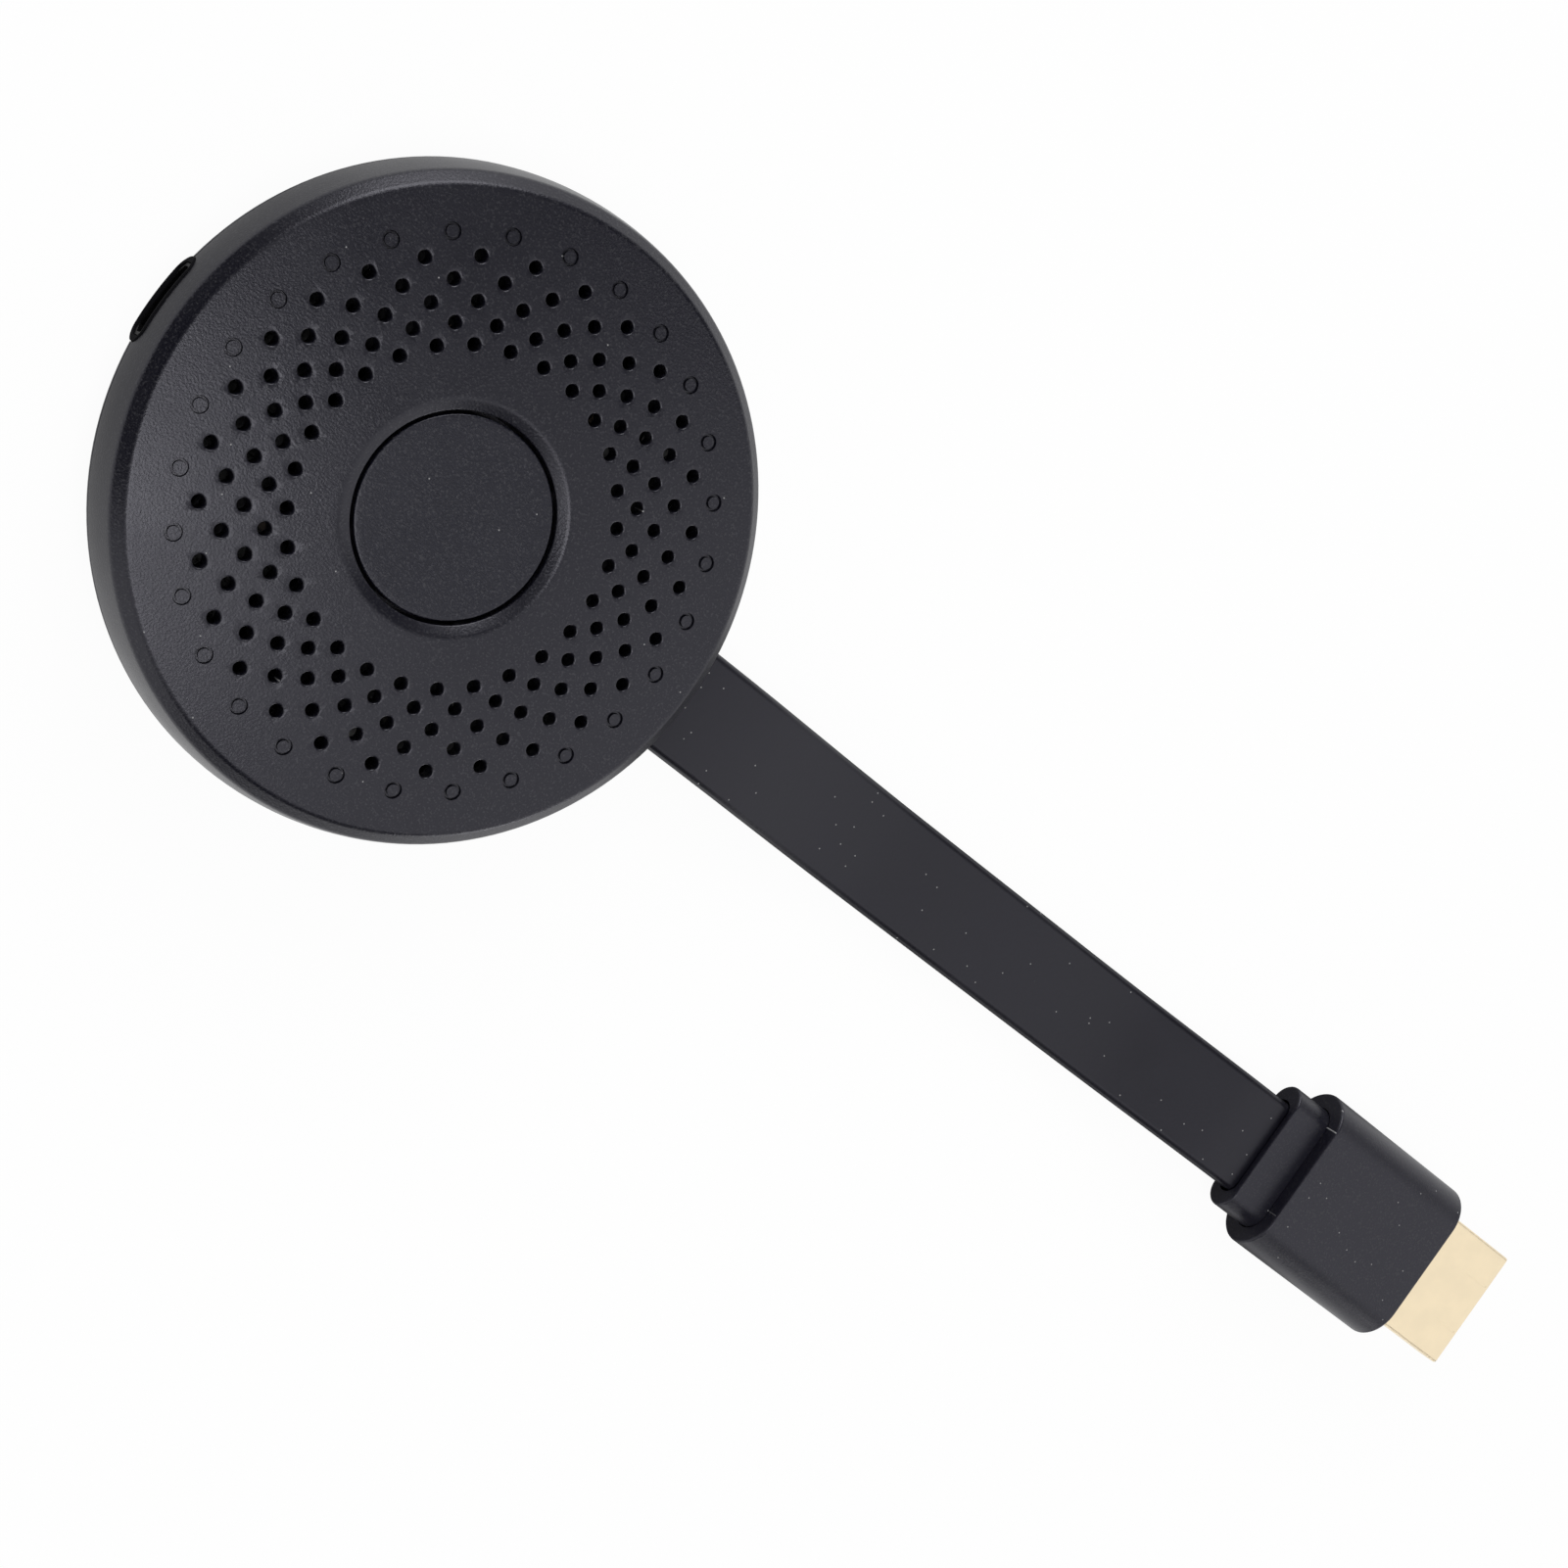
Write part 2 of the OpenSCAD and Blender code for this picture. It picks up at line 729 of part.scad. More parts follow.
module wifi_board() {
    color([0.08, 0.09, 0.09])
        on_board(wifi_share)
            difference() {
                block(-wifi_w / 2, wifi_w / 2, 0, wifi_l, 0, wifi_t);
                for (s = [-1, 1])
                    for (i = [1 : pad_notches])
                        translate([s * wifi_w / 2, wifi_l * (i / (pad_notches + 1) - 1 / 2), -over])
                            cylinder(d = pad_notch_d, h = wifi_t + 2 * over, $fn = hole_fn / 2);
            }
}

module wifi_shield() {
    w = wifi_w - 2 * shield_margin;
    l = wifi_l - 2 * shield_margin;
    color([0.16, 0.16, 0.17])
        on_board(wifi_share)
            translate([0, 0, wifi_t])
                difference() {
                    block(-w / 2, w / 2, 0, l, 0, shield_h);
                    block(shield_t - w / 2, w / 2 - shield_t, 0, l - 2 * shield_t, -over,
                        shield_h - shield_t);
                    for (i = [-1 : 1])
                        for (j = [-1 : 1])
                            translate([i * w / 4, j * l / 4, 0])
                                cylinder(d = shield_vent_d, h = shield_h + over, $fn = hole_fn / 2);
                }
}

// a strip bent from sheet, on two feet
module wifi_antenna() {
    color([0.8, 0.78, 0.7])
        rotate([0, 0, antenna_turn])
            translate([board_r * antenna_reach_share, 0, board_top])
                union() {
                    block(-antenna_w / 2, antenna_w / 2, 0, antenna_l, antenna_h - antenna_t, antenna_h);
                    for (s = [-1, 1])
                        block(-antenna_foot / 2, antenna_foot / 2, s * (antenna_l - antenna_t) / 2, antenna_t,
                            0, antenna_h);
                }
}

module crystal() {
    color([0.8, 0.8, 0.82])
        on_board(crystal_share)
            union() {
                block(-crystal_w / 2, crystal_w / 2, 0, crystal_l, 0, crystal_h / 2);
                block(leg_t - crystal_w / 2, crystal_w / 2 - leg_t, 0, crystal_l - 2 * leg_t,
                    crystal_h / 2 - sink, crystal_h);
            }
}

module power_inductors() {
    color([0.3, 0.3, 0.31])
        for (p = inductor_shares)
            on_board(p)
                union() {
                    block(-inductor_w / 2, inductor_w / 2, 0, inductor_w, 0, inductor_h * 2 / 3);
                    translate([0, 0, inductor_h / 2])
                        cylinder(d = inductor_core_d, h = inductor_h / 2);
                }
}

module power_regulator() {
    color([0.12, 0.12, 0.12])
        on_board(regulator_share)
            union() {
                block(-regulator_w / 2, regulator_w / 2, 0, regulator_l, leg_t / 2, regulator_h);
                for (i = [-1 : 1])
                    translate([-regulator_w / 2, i * regulator_l / 3, 0])
                        block(-leg_out, leg_out, 0, leg_w, 0, leg_t);
                block(0, regulator_w / 2 + leg_out, 0, regulator_l * 2 / 3, 0, leg_t);
            }
}

// a chip part with metal ends, lying along Y
module end_capped(l, w) {
    cap_l = l * end_cap_share;
    proud = w * cap_proud_share;
    union() {
        block(-w / 2, w / 2, 0, l - cap_l, proud, w);
        for (s = [-1, 1])
            block(-w / 2 - proud, w / 2 + proud, s * (l - cap_l) / 2, cap_l, 0, w + proud);
    }
}

module ceramic_capacitors() {
    color([0.6, 0.5, 0.38])
        for (p = capacitor_shares)
            on_board(p)
                end_capped(capacitor_l, capacitor_w);
}

module chip_resistors() {
    color([0.2, 0.2, 0.2])
        for (p = resistor_shares)
            on_board(p)
                end_capped(resistor_l, resistor_w);
}

module indicator_led() {
    color([0.9, 0.9, 0.85])
        on_board(led_share)
            union() {
                block(-led_w / 2, led_w / 2, 0, led_l, 0, led_base_h);
                translate([0, 0, led_base_h - sink])
                    cylinder(d = led_w, h = led_h - led_base_h + sink);
            }
}

// section of the power socket's shell, wide at the top, grown by g
module usb_section(g) {
    w = usb_w / 2 + g;
    h = usb_h / 2 + g;
    c = usb_corner;
    polygon([[-w, h - c / 2], [c / 2 - w, h], [w - c / 2, h], [w, h - c / 2], [w, -h / 3], [w - c, -h],
        [c - w, -h], [-w, -h / 3]]);
}

module usb_bar(g, x0, x1) {
    translate([x0, 0, parting_h])
        rotate([90, 0, 90])
            linear_extrude(height = x1 - x0)
                usb_section(g);
}

module usb_shell() {
    color([0.16, 0.16, 0.17])
        difference() {
            usb_bar(0, usb_x, usb_x + usb_l);
            usb_bar(-usb_t, usb_x - over, usb_x + usb_l + over);
        }
}

// insert that fills the slot round the socket; its face follows the rim
module socket_bezel() {
    color([0.11, 0.11, 0.11])
        difference() {
            intersection() {
                slot_bar(slot_w - 2 * slip, slot_h - 2 * slip, -case_r - over, -case_r + wall, parting_h);
                cylinder(r = case_r + bezel_out, h = case_h, $fn = ring_fn);
            }
            usb_bar(slip, -case_r - over, -case_r + wall + over);
        }
}

module usb_tongue() {
    back_x = usb_x + usb_l;
    tongue_z = parting_h + usb_h / 2 - usb_t - tongue_t;
    color([0.12, 0.12, 0.12])
        difference() {
            union() {
                usb_bar(-usb_t, back_x - usb_back, back_x);
                block(usb_x + tongue_setback, back_x - usb_back + sink, 0, tongue_w, tongue_z - tongue_t / 2,
                    tongue_z + tongue_t / 2);
            }
            for (i = [0 : usb_pins - 1])
                translate([0, (i - (usb_pins - 1) / 2) * usb_pitch, tongue_z - tongue_t / 2])
                    block(usb_x, back_x + over, 0, usb_pin_w + 2 * pin_gap, -over, usb_pin_t);
        }
}

module usb_contacts() {
    back_x = usb_x + usb_l;
    low = parting_h + usb_h / 2 - usb_t - 3 / 2 * tongue_t;
    color([0.85, 0.7, 0.35])
        for (i = [0 : usb_pins - 1])
            translate([0, (i - (usb_pins - 1) / 2) * usb_pitch, 0])
                union() {
                    block(usb_x + 2 * tongue_setback, back_x + usb_pin_w, 0, usb_pin_w, low, low + usb_pin_t);
                    block(back_x + usb_pin_w - usb_pin_t, back_x + usb_pin_w, 0, usb_pin_w, board_top,
                        low + usb_pin_t);
                    block(back_x + usb_pin_w - usb_pin_t, back_x + 3 * usb_pin_w, 0, usb_pin_w, board_top,
                        board_top + usb_pin_t);
                }
}

// wires and pins run along X in two rows
wires_y = [for (i = [0 : layer_wires - 1]) (i - (layer_wires - 1) / 2) * pin_pitch];
rows_z = [cable_z - row_step / 2, cable_z + row_step / 2];
wire_plug_x1 = tail_x - wire_run;
wire_plug_x0 = wire_plug_x1 - wire_plug_l;
wire_plug_w = (layer_wires - 1) * pin_pitch + 2 * wire_plug_rim_w;
wire_plug_h = row_step + 2 * wire_plug_rim_h;
header_x1 = wire_plug_x0 + plug_in;
header_x0 = wire_plug_x0 - header_back_t;

module at_wires() {
    for (y = wires_y)
        for (z = rows_z)
            translate([0, y, z])
                children();
}

module wire_bar(d, x0, x1) {
    translate([x0, 0, 0])
        rotate([0, 90, 0])
            cylinder(d = d, h = x1 - x0, $fn = hole_fn / 2);
}

module board_header() {
    w = wire_plug_w + 2 * (slip + header_wall);
    color([0.14, 0.14, 0.14])
        difference() {
            block(header_x0, header_x1, 0, w, board_top, cable_z + wire_plug_h / 2 + slip + header_wall);
            block(wire_plug_x0, header_x1 + over, 0, wire_plug_w + 2 * slip, cable_z - wire_plug_h / 2 - slip,
                cable_z + wire_plug_h / 2 + slip);
            at_wires()
                block(header_x0 - over, wire_plug_x0 + over, 0, pin_w + 2 * pin_gap, -pin_w / 2 - pin_gap,
                    pin_w / 2 + pin_gap);
        }
}

module header_pins() {
    color([0.85, 0.75, 0.4])
        for (y = wires_y)
            for (row = [0, 1])
                let (back = header_x0 - pin_tail_gap - row * (pin_w + pin_tail_gap))
                    union() {
                        block(back - pin_w, wire_plug_x0 + pin_in, y, pin_w, rows_z[row] - pin_w / 2,
                            rows_z[row] + pin_w / 2);
                        block(back - pin_w, back, y, pin_w, board_top, rows_z[row] + pin_w / 2);
                    }
}

module wire_plug() {
    color([0.16, 0.16, 0.16])
        difference() {
            block(wire_plug_x0, wire_plug_x1, 0, wire_plug_w, cable_z - wire_plug_h / 2,
                cable_z + wire_plug_h / 2);
            at_wires()
                wire_bar(wire_d + 2 * wire_hole_gap, wire_plug_x0 - over, wire_plug_x1 + over);
        }
}

module signal_wires() {
    color([0.12, 0.12, 0.12])
        at_wires()
            wire_bar(wire_d, wire_plug_x1 - wire_in, tail_x);
}

module cable_tail() {
    color([0.17, 0.17, 0.18])
        slot_bar(cable_w, cable_t, tail_x, route[0][0], cable_z);
}

module cable_grommet() {
    color([0.13, 0.13, 0.14])
        difference() {
            slot_bar(grommet_w, grommet_h, grommet_x0, grommet_x1, cable_z);
            slot_bar(cable_w, cable_t, grommet_x0 - over, grommet_x1 + over, cable_z);
        }
}

// section of the cable, clockwise: distance along Y, and square to the run
cable_section = [for (s = [1, -1]) for (i = [0 : cable_end_points]) let (a = 180 * i / cable_end_points)
    [s * (cable_w - cable_t) / 2 + s * cable_t / 2 * sin(a), s * cable_t / 2 * cos(a)]];

function run_dir(i) = let (a = route[max(i - 1, 0)], b = route[min(i + 1, len(route) - 1)], d = b - a)
    i == 0 || i == len(route) - 1 ? [1, 0] : d / norm(d);

module flat_cable() {
    n = len(cable_section);
    rings = len(route);
    points = [for (i = [0 : rings - 1]) let (t = run_dir(i)) for (p = cable_section)
        [route[i][0] - t[1] * p[1], p[0], route[i][1] + t[0] * p[1]]];
    sides = [for (i = [0 : rings - 2]) for (j = [0 : n - 1])
        let (a = i * n + j, b = i * n + (j + 1) % n) each [[a, b, b + n], [a, b + n, a + n]]];
    caps = [[for (j = [n - 1 : -1 : 0]) j], [for (j = [0 : n - 1]) (rings - 1) * n + j]];
    color([0.16, 0.16, 0.17])
        polyhedron(points = points, faces = concat(sides, caps));
}

module plug_cable_end() {
    color([0.17, 0.17, 0.18])
        slot_bar(cable_w, cable_t, plug_x, core_x0 + cable_in, plug_z);
}

module plug_collar() {
    color([0.15, 0.15, 0.16])
        difference() {
            slot_bar(collar_w, collar_h, plug_x, body_x + collar_in, plug_z);
            slot_bar(cable_w, cable_t, plug_x - over, body_x + collar_in + over, plug_z);
            slot_bar(cable_w + 2 * mouth_gap, cable_t + 2 * mouth_gap, plug_x - over, plug_x + mouth_depth,
                plug_z);
        }
}

module plug_body() {
    color([0.16, 0.16, 0.17])
        difference() {
            slot_bar(plug_w, plug_h, body_x, front_x, plug_z);
            slot_bar(collar_w, collar_h, body_x - over, body_x + collar_in, plug_z);
            slot_bar(cable_w, cable_t, body_x - over, core_x0 + over, plug_z);
            slot_bar(core_w, core_h, core_x0, core_x1, plug_z);
            shell_bar(0, core_x1 - over, front_x + over);
        }
}

// section of the plug's shell, narrower at the bottom, grown by g
module shell_section(g) {
    w = shell_w / 2 + g;
    h = shell_h / 2 + g;
    e = shell_edge;
    cw = shell_corner_w;
    ch = shell_corner_h;
    polygon([[-w, h - e], [e - w, h], [w - e, h], [w, h - e], [w, ch - h], [w - cw, -h], [cw - w, -h],
        [-w, ch - h]]);
}

module shell_bar(g, x0, x1) {
    translate([x0, 0, plug_z])
        rotate([90, 0, 90])
            linear_extrude(height = x1 - x0)
                shell_section(g);
}

module plug_core() {
    color([0.85, 0.85, 0.83])
        difference() {
            slot_bar(core_w, core_h, core_x0, core_x1, plug_z);
            shell_bar(0, shell_x, core_x1 + over);
            slot_bar(cable_w, cable_t, core_x0 - over, core_x0 + cable_in, plug_z);
        }
}

module plug_shell() {
    color([0.95, 0.84, 0.6])
        difference() {
            shell_bar(0, shell_x, tip_x);
            shell_bar(-shell_t, shell_x - over, tip_x + over);
            for (s = [-1, 1])
                translate([0, 0, plug_z + shell_h / 2])
                    block(tip_x - dimple_setback - dimple_l, tip_x - dimple_setback, s * dimple_y, dimple_w,
                        -dimple_depth, over);
        }
}

module plug_insulator() {
    x1 = tip_x - insulator_setback;
    z = plug_z + mouth_lift;
    color([0.1, 0.1, 0.1])
        difference() {
            shell_bar(-shell_t, shell_x, x1);
            block(x1 - mouth_l, x1 + over, 0, mouth_w, z - mouth_h / 2, z + mouth_h / 2);
        }
}

module plug_contacts() {
    x1 = tip_x - 2 * insulator_setback;
    z = plug_z + mouth_lift;
    color([0.9, 0.75, 0.4])
        for (s = [-1, 1])
            for (i = [0 : layer_wires - 1 - (1 - s) / 2])
                let (y = (i - (layer_wires - 1 - (1 - s) / 2) / 2) * pin_pitch)
                    block(x1 - contact_l, x1, y, contact_w, z + s * (mouth_h - contact_t) / 2 - contact_t / 2,
                        z + s * (mouth_h - contact_t) / 2 + contact_t / 2);
}

front_shell();
back_shell();
mode_button();
switch_body();
switch_cover();
switch_dome();
switch_plunger();
switch_terminals();
main_board();
board_screws();
processor();
thermal_pad();
heat_sink();
memory_chip();
flash_chip();
wifi_board();
wifi_shield();
wifi_antenna();
crystal();
power_inductors();
power_regulator();
ceramic_capacitors();
chip_resistors();
indicator_led();
usb_shell();
usb_tongue();
usb_contacts();
socket_bezel();
board_header();
header_pins();
wire_plug();
signal_wires();
cable_tail();
cable_grommet();
flat_cable();
plug_cable_end();
plug_collar();
plug_body();
plug_core();
plug_shell();
plug_insulator();
plug_contacts();
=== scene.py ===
import json
import math
import bmesh
import bpy
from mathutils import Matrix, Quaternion, Vector


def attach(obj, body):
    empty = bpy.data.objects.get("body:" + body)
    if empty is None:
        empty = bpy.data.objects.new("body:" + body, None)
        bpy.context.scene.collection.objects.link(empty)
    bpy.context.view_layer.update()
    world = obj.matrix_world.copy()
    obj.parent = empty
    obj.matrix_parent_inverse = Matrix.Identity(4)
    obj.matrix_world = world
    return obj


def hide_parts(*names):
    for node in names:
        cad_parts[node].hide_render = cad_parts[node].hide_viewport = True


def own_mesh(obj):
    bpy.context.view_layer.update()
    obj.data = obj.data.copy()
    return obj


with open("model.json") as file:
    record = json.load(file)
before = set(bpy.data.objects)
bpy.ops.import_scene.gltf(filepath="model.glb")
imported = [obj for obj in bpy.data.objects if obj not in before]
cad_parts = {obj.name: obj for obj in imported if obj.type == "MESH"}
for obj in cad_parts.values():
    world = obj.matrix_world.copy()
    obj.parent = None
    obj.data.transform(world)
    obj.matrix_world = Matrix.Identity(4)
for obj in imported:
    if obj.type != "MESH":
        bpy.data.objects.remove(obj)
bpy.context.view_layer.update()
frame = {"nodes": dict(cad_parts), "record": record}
nodes = frame["nodes"]
bpy.context.scene.view_settings.view_transform = "Standard"
print("frame loaded:", len(nodes), "nodes")

# the pieces are modelled in millimetres, and finishPiece brings them to metres
mm = 0.001


# camera, at the photograph's place over the left edge of the case
cameraSet = {"place": (-110.50, -18.29, 294.93), "aim": (45.66, -0.31, 5.0), "roll": 120.24, "lens": 79.68}


def placeCamera(setup):
    place, aim = Vector(setup["place"]) * mm, Vector(setup["aim"]) * mm
    bpy.ops.object.camera_add(location=place)
    camera = bpy.context.object
    camera.name = "photoCamera"
    camera.rotation_mode = "QUATERNION"
    turn = Quaternion((0, 0, 1), math.radians(setup["roll"]))
    camera.rotation_quaternion = (aim - place).to_track_quat("-Z", "Y") @ turn
    camera.data.lens = setup["lens"]
    camera.data.sensor_width = 36
    camera.data.clip_start = 0.01
    bpy.context.scene.camera = camera


placeCamera(cameraSet)
print("camera placed")


# modelling helpers

def clearSelection():
    if bpy.context.object and bpy.context.object.mode != "OBJECT":
        bpy.ops.object.mode_set(mode="OBJECT")
    bpy.ops.object.select_all(action="DESELECT")


def makeActive(piece):
    clearSelection()
    piece.select_set(True)
    bpy.context.view_layer.objects.active = piece


def startEdit(piece, kind="VERT"):
    makeActive(piece)
    bpy.ops.object.mode_set(mode="EDIT")
    bpy.ops.mesh.select_mode(type=kind)


def selectWhere(piece, kind, test):
    # kind is verts, edges or faces, and test takes the middle of each one
    grid = bmesh.from_edit_mesh(piece.data)
    bpy.ops.mesh.select_all(action="DESELECT")
    for part in getattr(grid, kind):
        if kind == "verts":
            chosen = test(part.co)
        elif kind == "edges":
            chosen = test((part.verts[0].co + part.verts[1].co) / 2, part.verts[1].co - part.verts[0].co)
        else:
            chosen = test(part.calc_center_median(), part.normal)
        if chosen:
            part.select_set(True)
    grid.select_flush_mode()
    bmesh.update_edit_mesh(piece.data)


def mergeAndTurnOut():
    bpy.ops.mesh.select_all(action="SELECT")
    bpy.ops.mesh.remove_doubles(threshold=0.0005)
    bpy.ops.mesh.normals_make_consistent(inside=False)
    bpy.ops.object.mode_set(mode="OBJECT")


def applyModifier(piece, kind, **settings):
    makeActive(piece)
    modifier = piece.modifiers.new(kind.lower(), kind)
    for key, value in settings.items():
        setattr(modifier, key, value)
    bpy.ops.object.modifier_apply(modifier=modifier.name)


def joinPieces(pieces):
    clearSelection()
    for piece in pieces:
        piece.select_set(True)
    bpy.context.view_layer.objects.active = pieces[0]
    if len(pieces) > 1:
        bpy.ops.object.join()
    return pieces[0]


def boolean(piece, tools, operation="DIFFERENCE"):
    tool = joinPieces(tools)
    applyModifier(piece, "BOOLEAN", operation=operation, solver="EXACT", object=tool)
    bpy.data.objects.remove(tool)


def ringOfCopies(piece, count, turn):
    copies = []
    for i in range(count):
        twin = piece.copy()
        twin.data = piece.data.copy()
        twin.rotation_euler = (0, 0, math.radians(turn + 360 * i / count))
        bpy.context.scene.collection.objects.link(twin)
        copies.append(twin)
    bpy.data.objects.remove(piece)
    ring = joinPieces(copies)
    bpy.ops.object.transform_apply(location=True, rotation=True, scale=True)
    return ring


def roundedOutline(stops):
    # stops are (radius, height) or (radius, height, size of the rounding)
    points = []
    for i, stop in enumerate(stops):
        corner = Vector(stop[:2])
        if len(stop) == 2:
            points.append(corner)
            continue
        before = (Vector(stops[i - 1][:2]) - corner).normalized() * stop[2]
        after = (Vector(stops[(i + 1) % len(stops)][:2]) - corner).normalized() * stop[2]
        for t in (0, 0.2, 0.4, 0.6, 0.8, 1):
            points.append(corner + before * (1 - t) ** 2 + after * t ** 2)
    return points


def lathe(name, stops, steps, closed=True):
    outline = roundedOutline(stops)
    if closed:
        outline.append(outline[0])
    clearSelection()
    bpy.ops.mesh.primitive_plane_add(size=1)
    piece = bpy.context.object
    piece.name = name
    startEdit(piece)
    bpy.ops.mesh.select_all(action="SELECT")
    bpy.ops.mesh.merge(type="CENTER")
    bpy.ops.transform.translate(value=(outline[0][0], 0, outline[0][1]))
    for before, after in zip(outline, outline[1:]):
        step = after - before
        bpy.ops.mesh.extrude_region_move(TRANSFORM_OT_translate={"value": (step[0], 0, step[1])})
    bpy.ops.mesh.select_all(action="SELECT")
    bpy.ops.mesh.spin(steps=steps, angle=math.tau, center=(0, 0, 0), axis=(0, 0, 1))
    mergeAndTurnOut()
    return piece


def box(name, low, high, edge=0.0):
    clearSelection()
    bpy.ops.mesh.primitive_cube_add(size=1, location=[(a + b) / 2 for a, b in zip(low, high)],
                                    scale=[b - a for a, b in zip(low, high)])
    piece = bpy.context.object
    piece.name = name
    bpy.ops.object.transform_apply(location=True, rotation=True, scale=True)
    if edge:
        applyModifier(piece, "BEVEL", width=edge, segments=2, limit_method="NONE")
    return piece


def roundBar(name, wide, high, start, end, height, edge=0.0, corner=None):
    # a bar along X whose section has round ends, or rounded corners; its end edges are rounded by edge
    piece = box(name, (start, -wide / 2, height - high / 2), (end, wide / 2, height + high / 2))
    startEdit(piece, "EDGE")
    selectWhere(piece, "edges", lambda middle, run: abs(run.x) > 0.9 * (end - start))
    bpy.ops.mesh.bevel(offset=corner or high / 2 * 0.999, offset_type="OFFSET", segments=14, profile=0.5,
                       affect="EDGES")
    bpy.ops.mesh.select_all(action="SELECT")
    bpy.ops.mesh.remove_doubles(threshold=0.02)
    if edge:
        selectWhere(piece, "edges", lambda middle, run: abs(run.x) < 0.001)
        bpy.ops.mesh.bevel(offset=edge, offset_type="OFFSET", segments=4, profile=0.5, affect="EDGES")
    mergeAndTurnOut()
    return piece


def smoothShade(piece, angle=40):
    makeActive(piece)
    bpy.ops.object.shade_smooth_by_angle(angle=math.radians(angle))
    applyModifier(piece, "WEIGHTED_NORMAL", mode="FACE_AREA", keep_sharp=True, weight=80)


def finishPiece(piece, body, slotName, replaced):
    makeActive(piece)
    piece.scale = (mm, mm, mm)
    bpy.ops.object.transform_apply(location=True, rotation=True, scale=True)
    smoothShade(piece)
    piece.data.materials.clear()
    piece.data.materials.append(finishes[slotName].material)
    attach(piece, body)
    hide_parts(*replaced)
    print("piece", piece.name, len(piece.data.polygons), "faces")


# shader helpers

class Wire:
    # one output socket, with the sums that a shader needs
    def __init__(self, finish, socket):
        self.finish = finish
        self.socket = socket

    def sum(self, operation, *values):
        return self.finish.node("ShaderNodeMath", {"operation": operation}, dict(enumerate(values)))

    def __add__(self, other):
        return self.sum("ADD", self, other)

    def __radd__(self, other):
        return self.sum("ADD", other, self)

    def __sub__(self, other):
        return self.sum("SUBTRACT", self, other)

    def __rsub__(self, other):
        return self.sum("SUBTRACT", other, self)

    def __mul__(self, other):
        return self.sum("MULTIPLY", self, other)

    def __rmul__(self, other):
        return self.sum("MULTIPLY", other, self)

    def range(self, low, high, toLow=0.0, toHigh=1.0):
        return self.finish.node("ShaderNodeMapRange", {"interpolation_type": "SMOOTHSTEP"},
                                {"Value": self, "From Min": low, "From Max": high, "To Min": toLow, "To Max": toHigh})


class Finish:
    # a material, with its Principled shader
    def __init__(self, name, colour, roughness, metallic=0.0):
        self.material = bpy.data.materials.new(name)
        self.material.use_nodes = True
        self.tree = self.material.node_tree
        self.shader = self.tree.nodes["Principled BSDF"]
        self.set("Base Color", (*colour, 1))
        self.set("Roughness", roughness)
        self.set("Metallic", metallic)
        self.place = self.node("ShaderNodeTexCoord", {}, {}, "Object")

    def node(self, kind, settings, sockets, out=0):
        made = self.tree.nodes.new(kind)
        for key, value in settings.items():
            if key == "stops":
                while len(made.color_ramp.elements) < len(value):
                    made.color_ramp.elements.new(1)
                for element, (spot, colour) in zip(made.color_ramp.elements, value):
                    element.position, element.color = spot, colour
            else:
                setattr(made, key, value)
        for key, value in sockets.items():
            if isinstance(value, Wire):
                self.tree.links.new(value.socket, made.inputs[key])
            else:
                made.inputs[key].default_value = value
        return Wire(self, made.outputs[out])

    def set(self, name, value):
        if isinstance(value, Wire):
            self.tree.links.new(value.socket, self.shader.inputs[name])
        else:
            self.shader.inputs[name].default_value = value

    def noise(self, size, detail=2.0, stretch=(1, 1, 1), roughness=0.5):
        # size is that of one blotch in millimetres
        spot = self.node("ShaderNodeVectorMath", {"operation": "MULTIPLY"}, {0: self.place, 1: stretch})
        return self.node("ShaderNodeTexNoise", {},
                         {"Vector": spot, "Scale": 1 / (size * mm), "Detail": detail, "Roughness": roughness})

    def specks(self, spacing, size, share):
        # round specks in a share of the cells, as a mask
        cell = {"Vector": self.place, "Scale": 1 / (spacing * mm), "Randomness": 1.0}
        flat = {"feature": "F1", "voronoi_dimensions": "2D"}
        near = self.node("ShaderNodeTexVoronoi", flat, cell, "Distance")
        pick = self.node("ShaderNodeTexVoronoi", flat, cell, "Color")
        split = self.node("ShaderNodeSeparateColor", {}, {"Color": pick})
        reach = size / spacing
        return near.range(reach * 0.6, reach, 1.0, 0.0) * split.range(1 - share, 1 - share * 0.9)

    def mix(self, share, first, second):
        return self.node("ShaderNodeMix", {"data_type": "RGBA"}, {0: share, 6: first, 7: second}, 2)

    def bump(self, height, depth):
        # depth in millimetres is that of a height of 1
        self.set("Normal", self.node("ShaderNodeBump", {}, {"Height": height, "Distance": depth * mm}))


def shade(colour, share):
    return (*[channel * share for channel in colour], 1)


def plasticFinish(name, colour, roughness, grain, relief, dust=0.0, spread=0.05, paintedGlint=1.0):
    # moulded plastic: spark-eroded grain, uneven gloss and a little dust; with a glint factor above 1, glints on the
    # grain's tips are painted into the base colour
    finish = Finish(name, colour, roughness)
    fine = finish.noise(grain, 3.0)
    broad = finish.noise(9.0, 2.0)
    tint = finish.mix(broad.range(0.3, 0.7), shade(colour, 0.9), shade(colour, 1.15))
    # painted glints: where the fine grain is high, the base colour is made far lighter and elsewhere darker, standing
    # in for the light that the grain's tips catch
    if paintedGlint > 1:
        tint = finish.mix(fine.range(0.52, 0.7), shade(colour, 0.6), shade((0.85, 0.85, 1.0), max(colour) * paintedGlint))
    gloss = broad.range(0.3, 0.7, roughness - spread, roughness + spread)
    if dust:
        speck = finish.specks(2.0, 0.085, dust)
        tint = finish.mix(speck, tint, (0.28, 0.28, 0.28, 1))
        gloss = gloss + speck * 0.3
    finish.set("Base Color", tint)
    finish.set("Roughness", gloss)
    finish.set("Specular Tint", (0.91, 0.9, 1.0, 1))
    finish.set("Specular IOR Level", 0.53)
    finish.bump(fine, relief)
    return finish


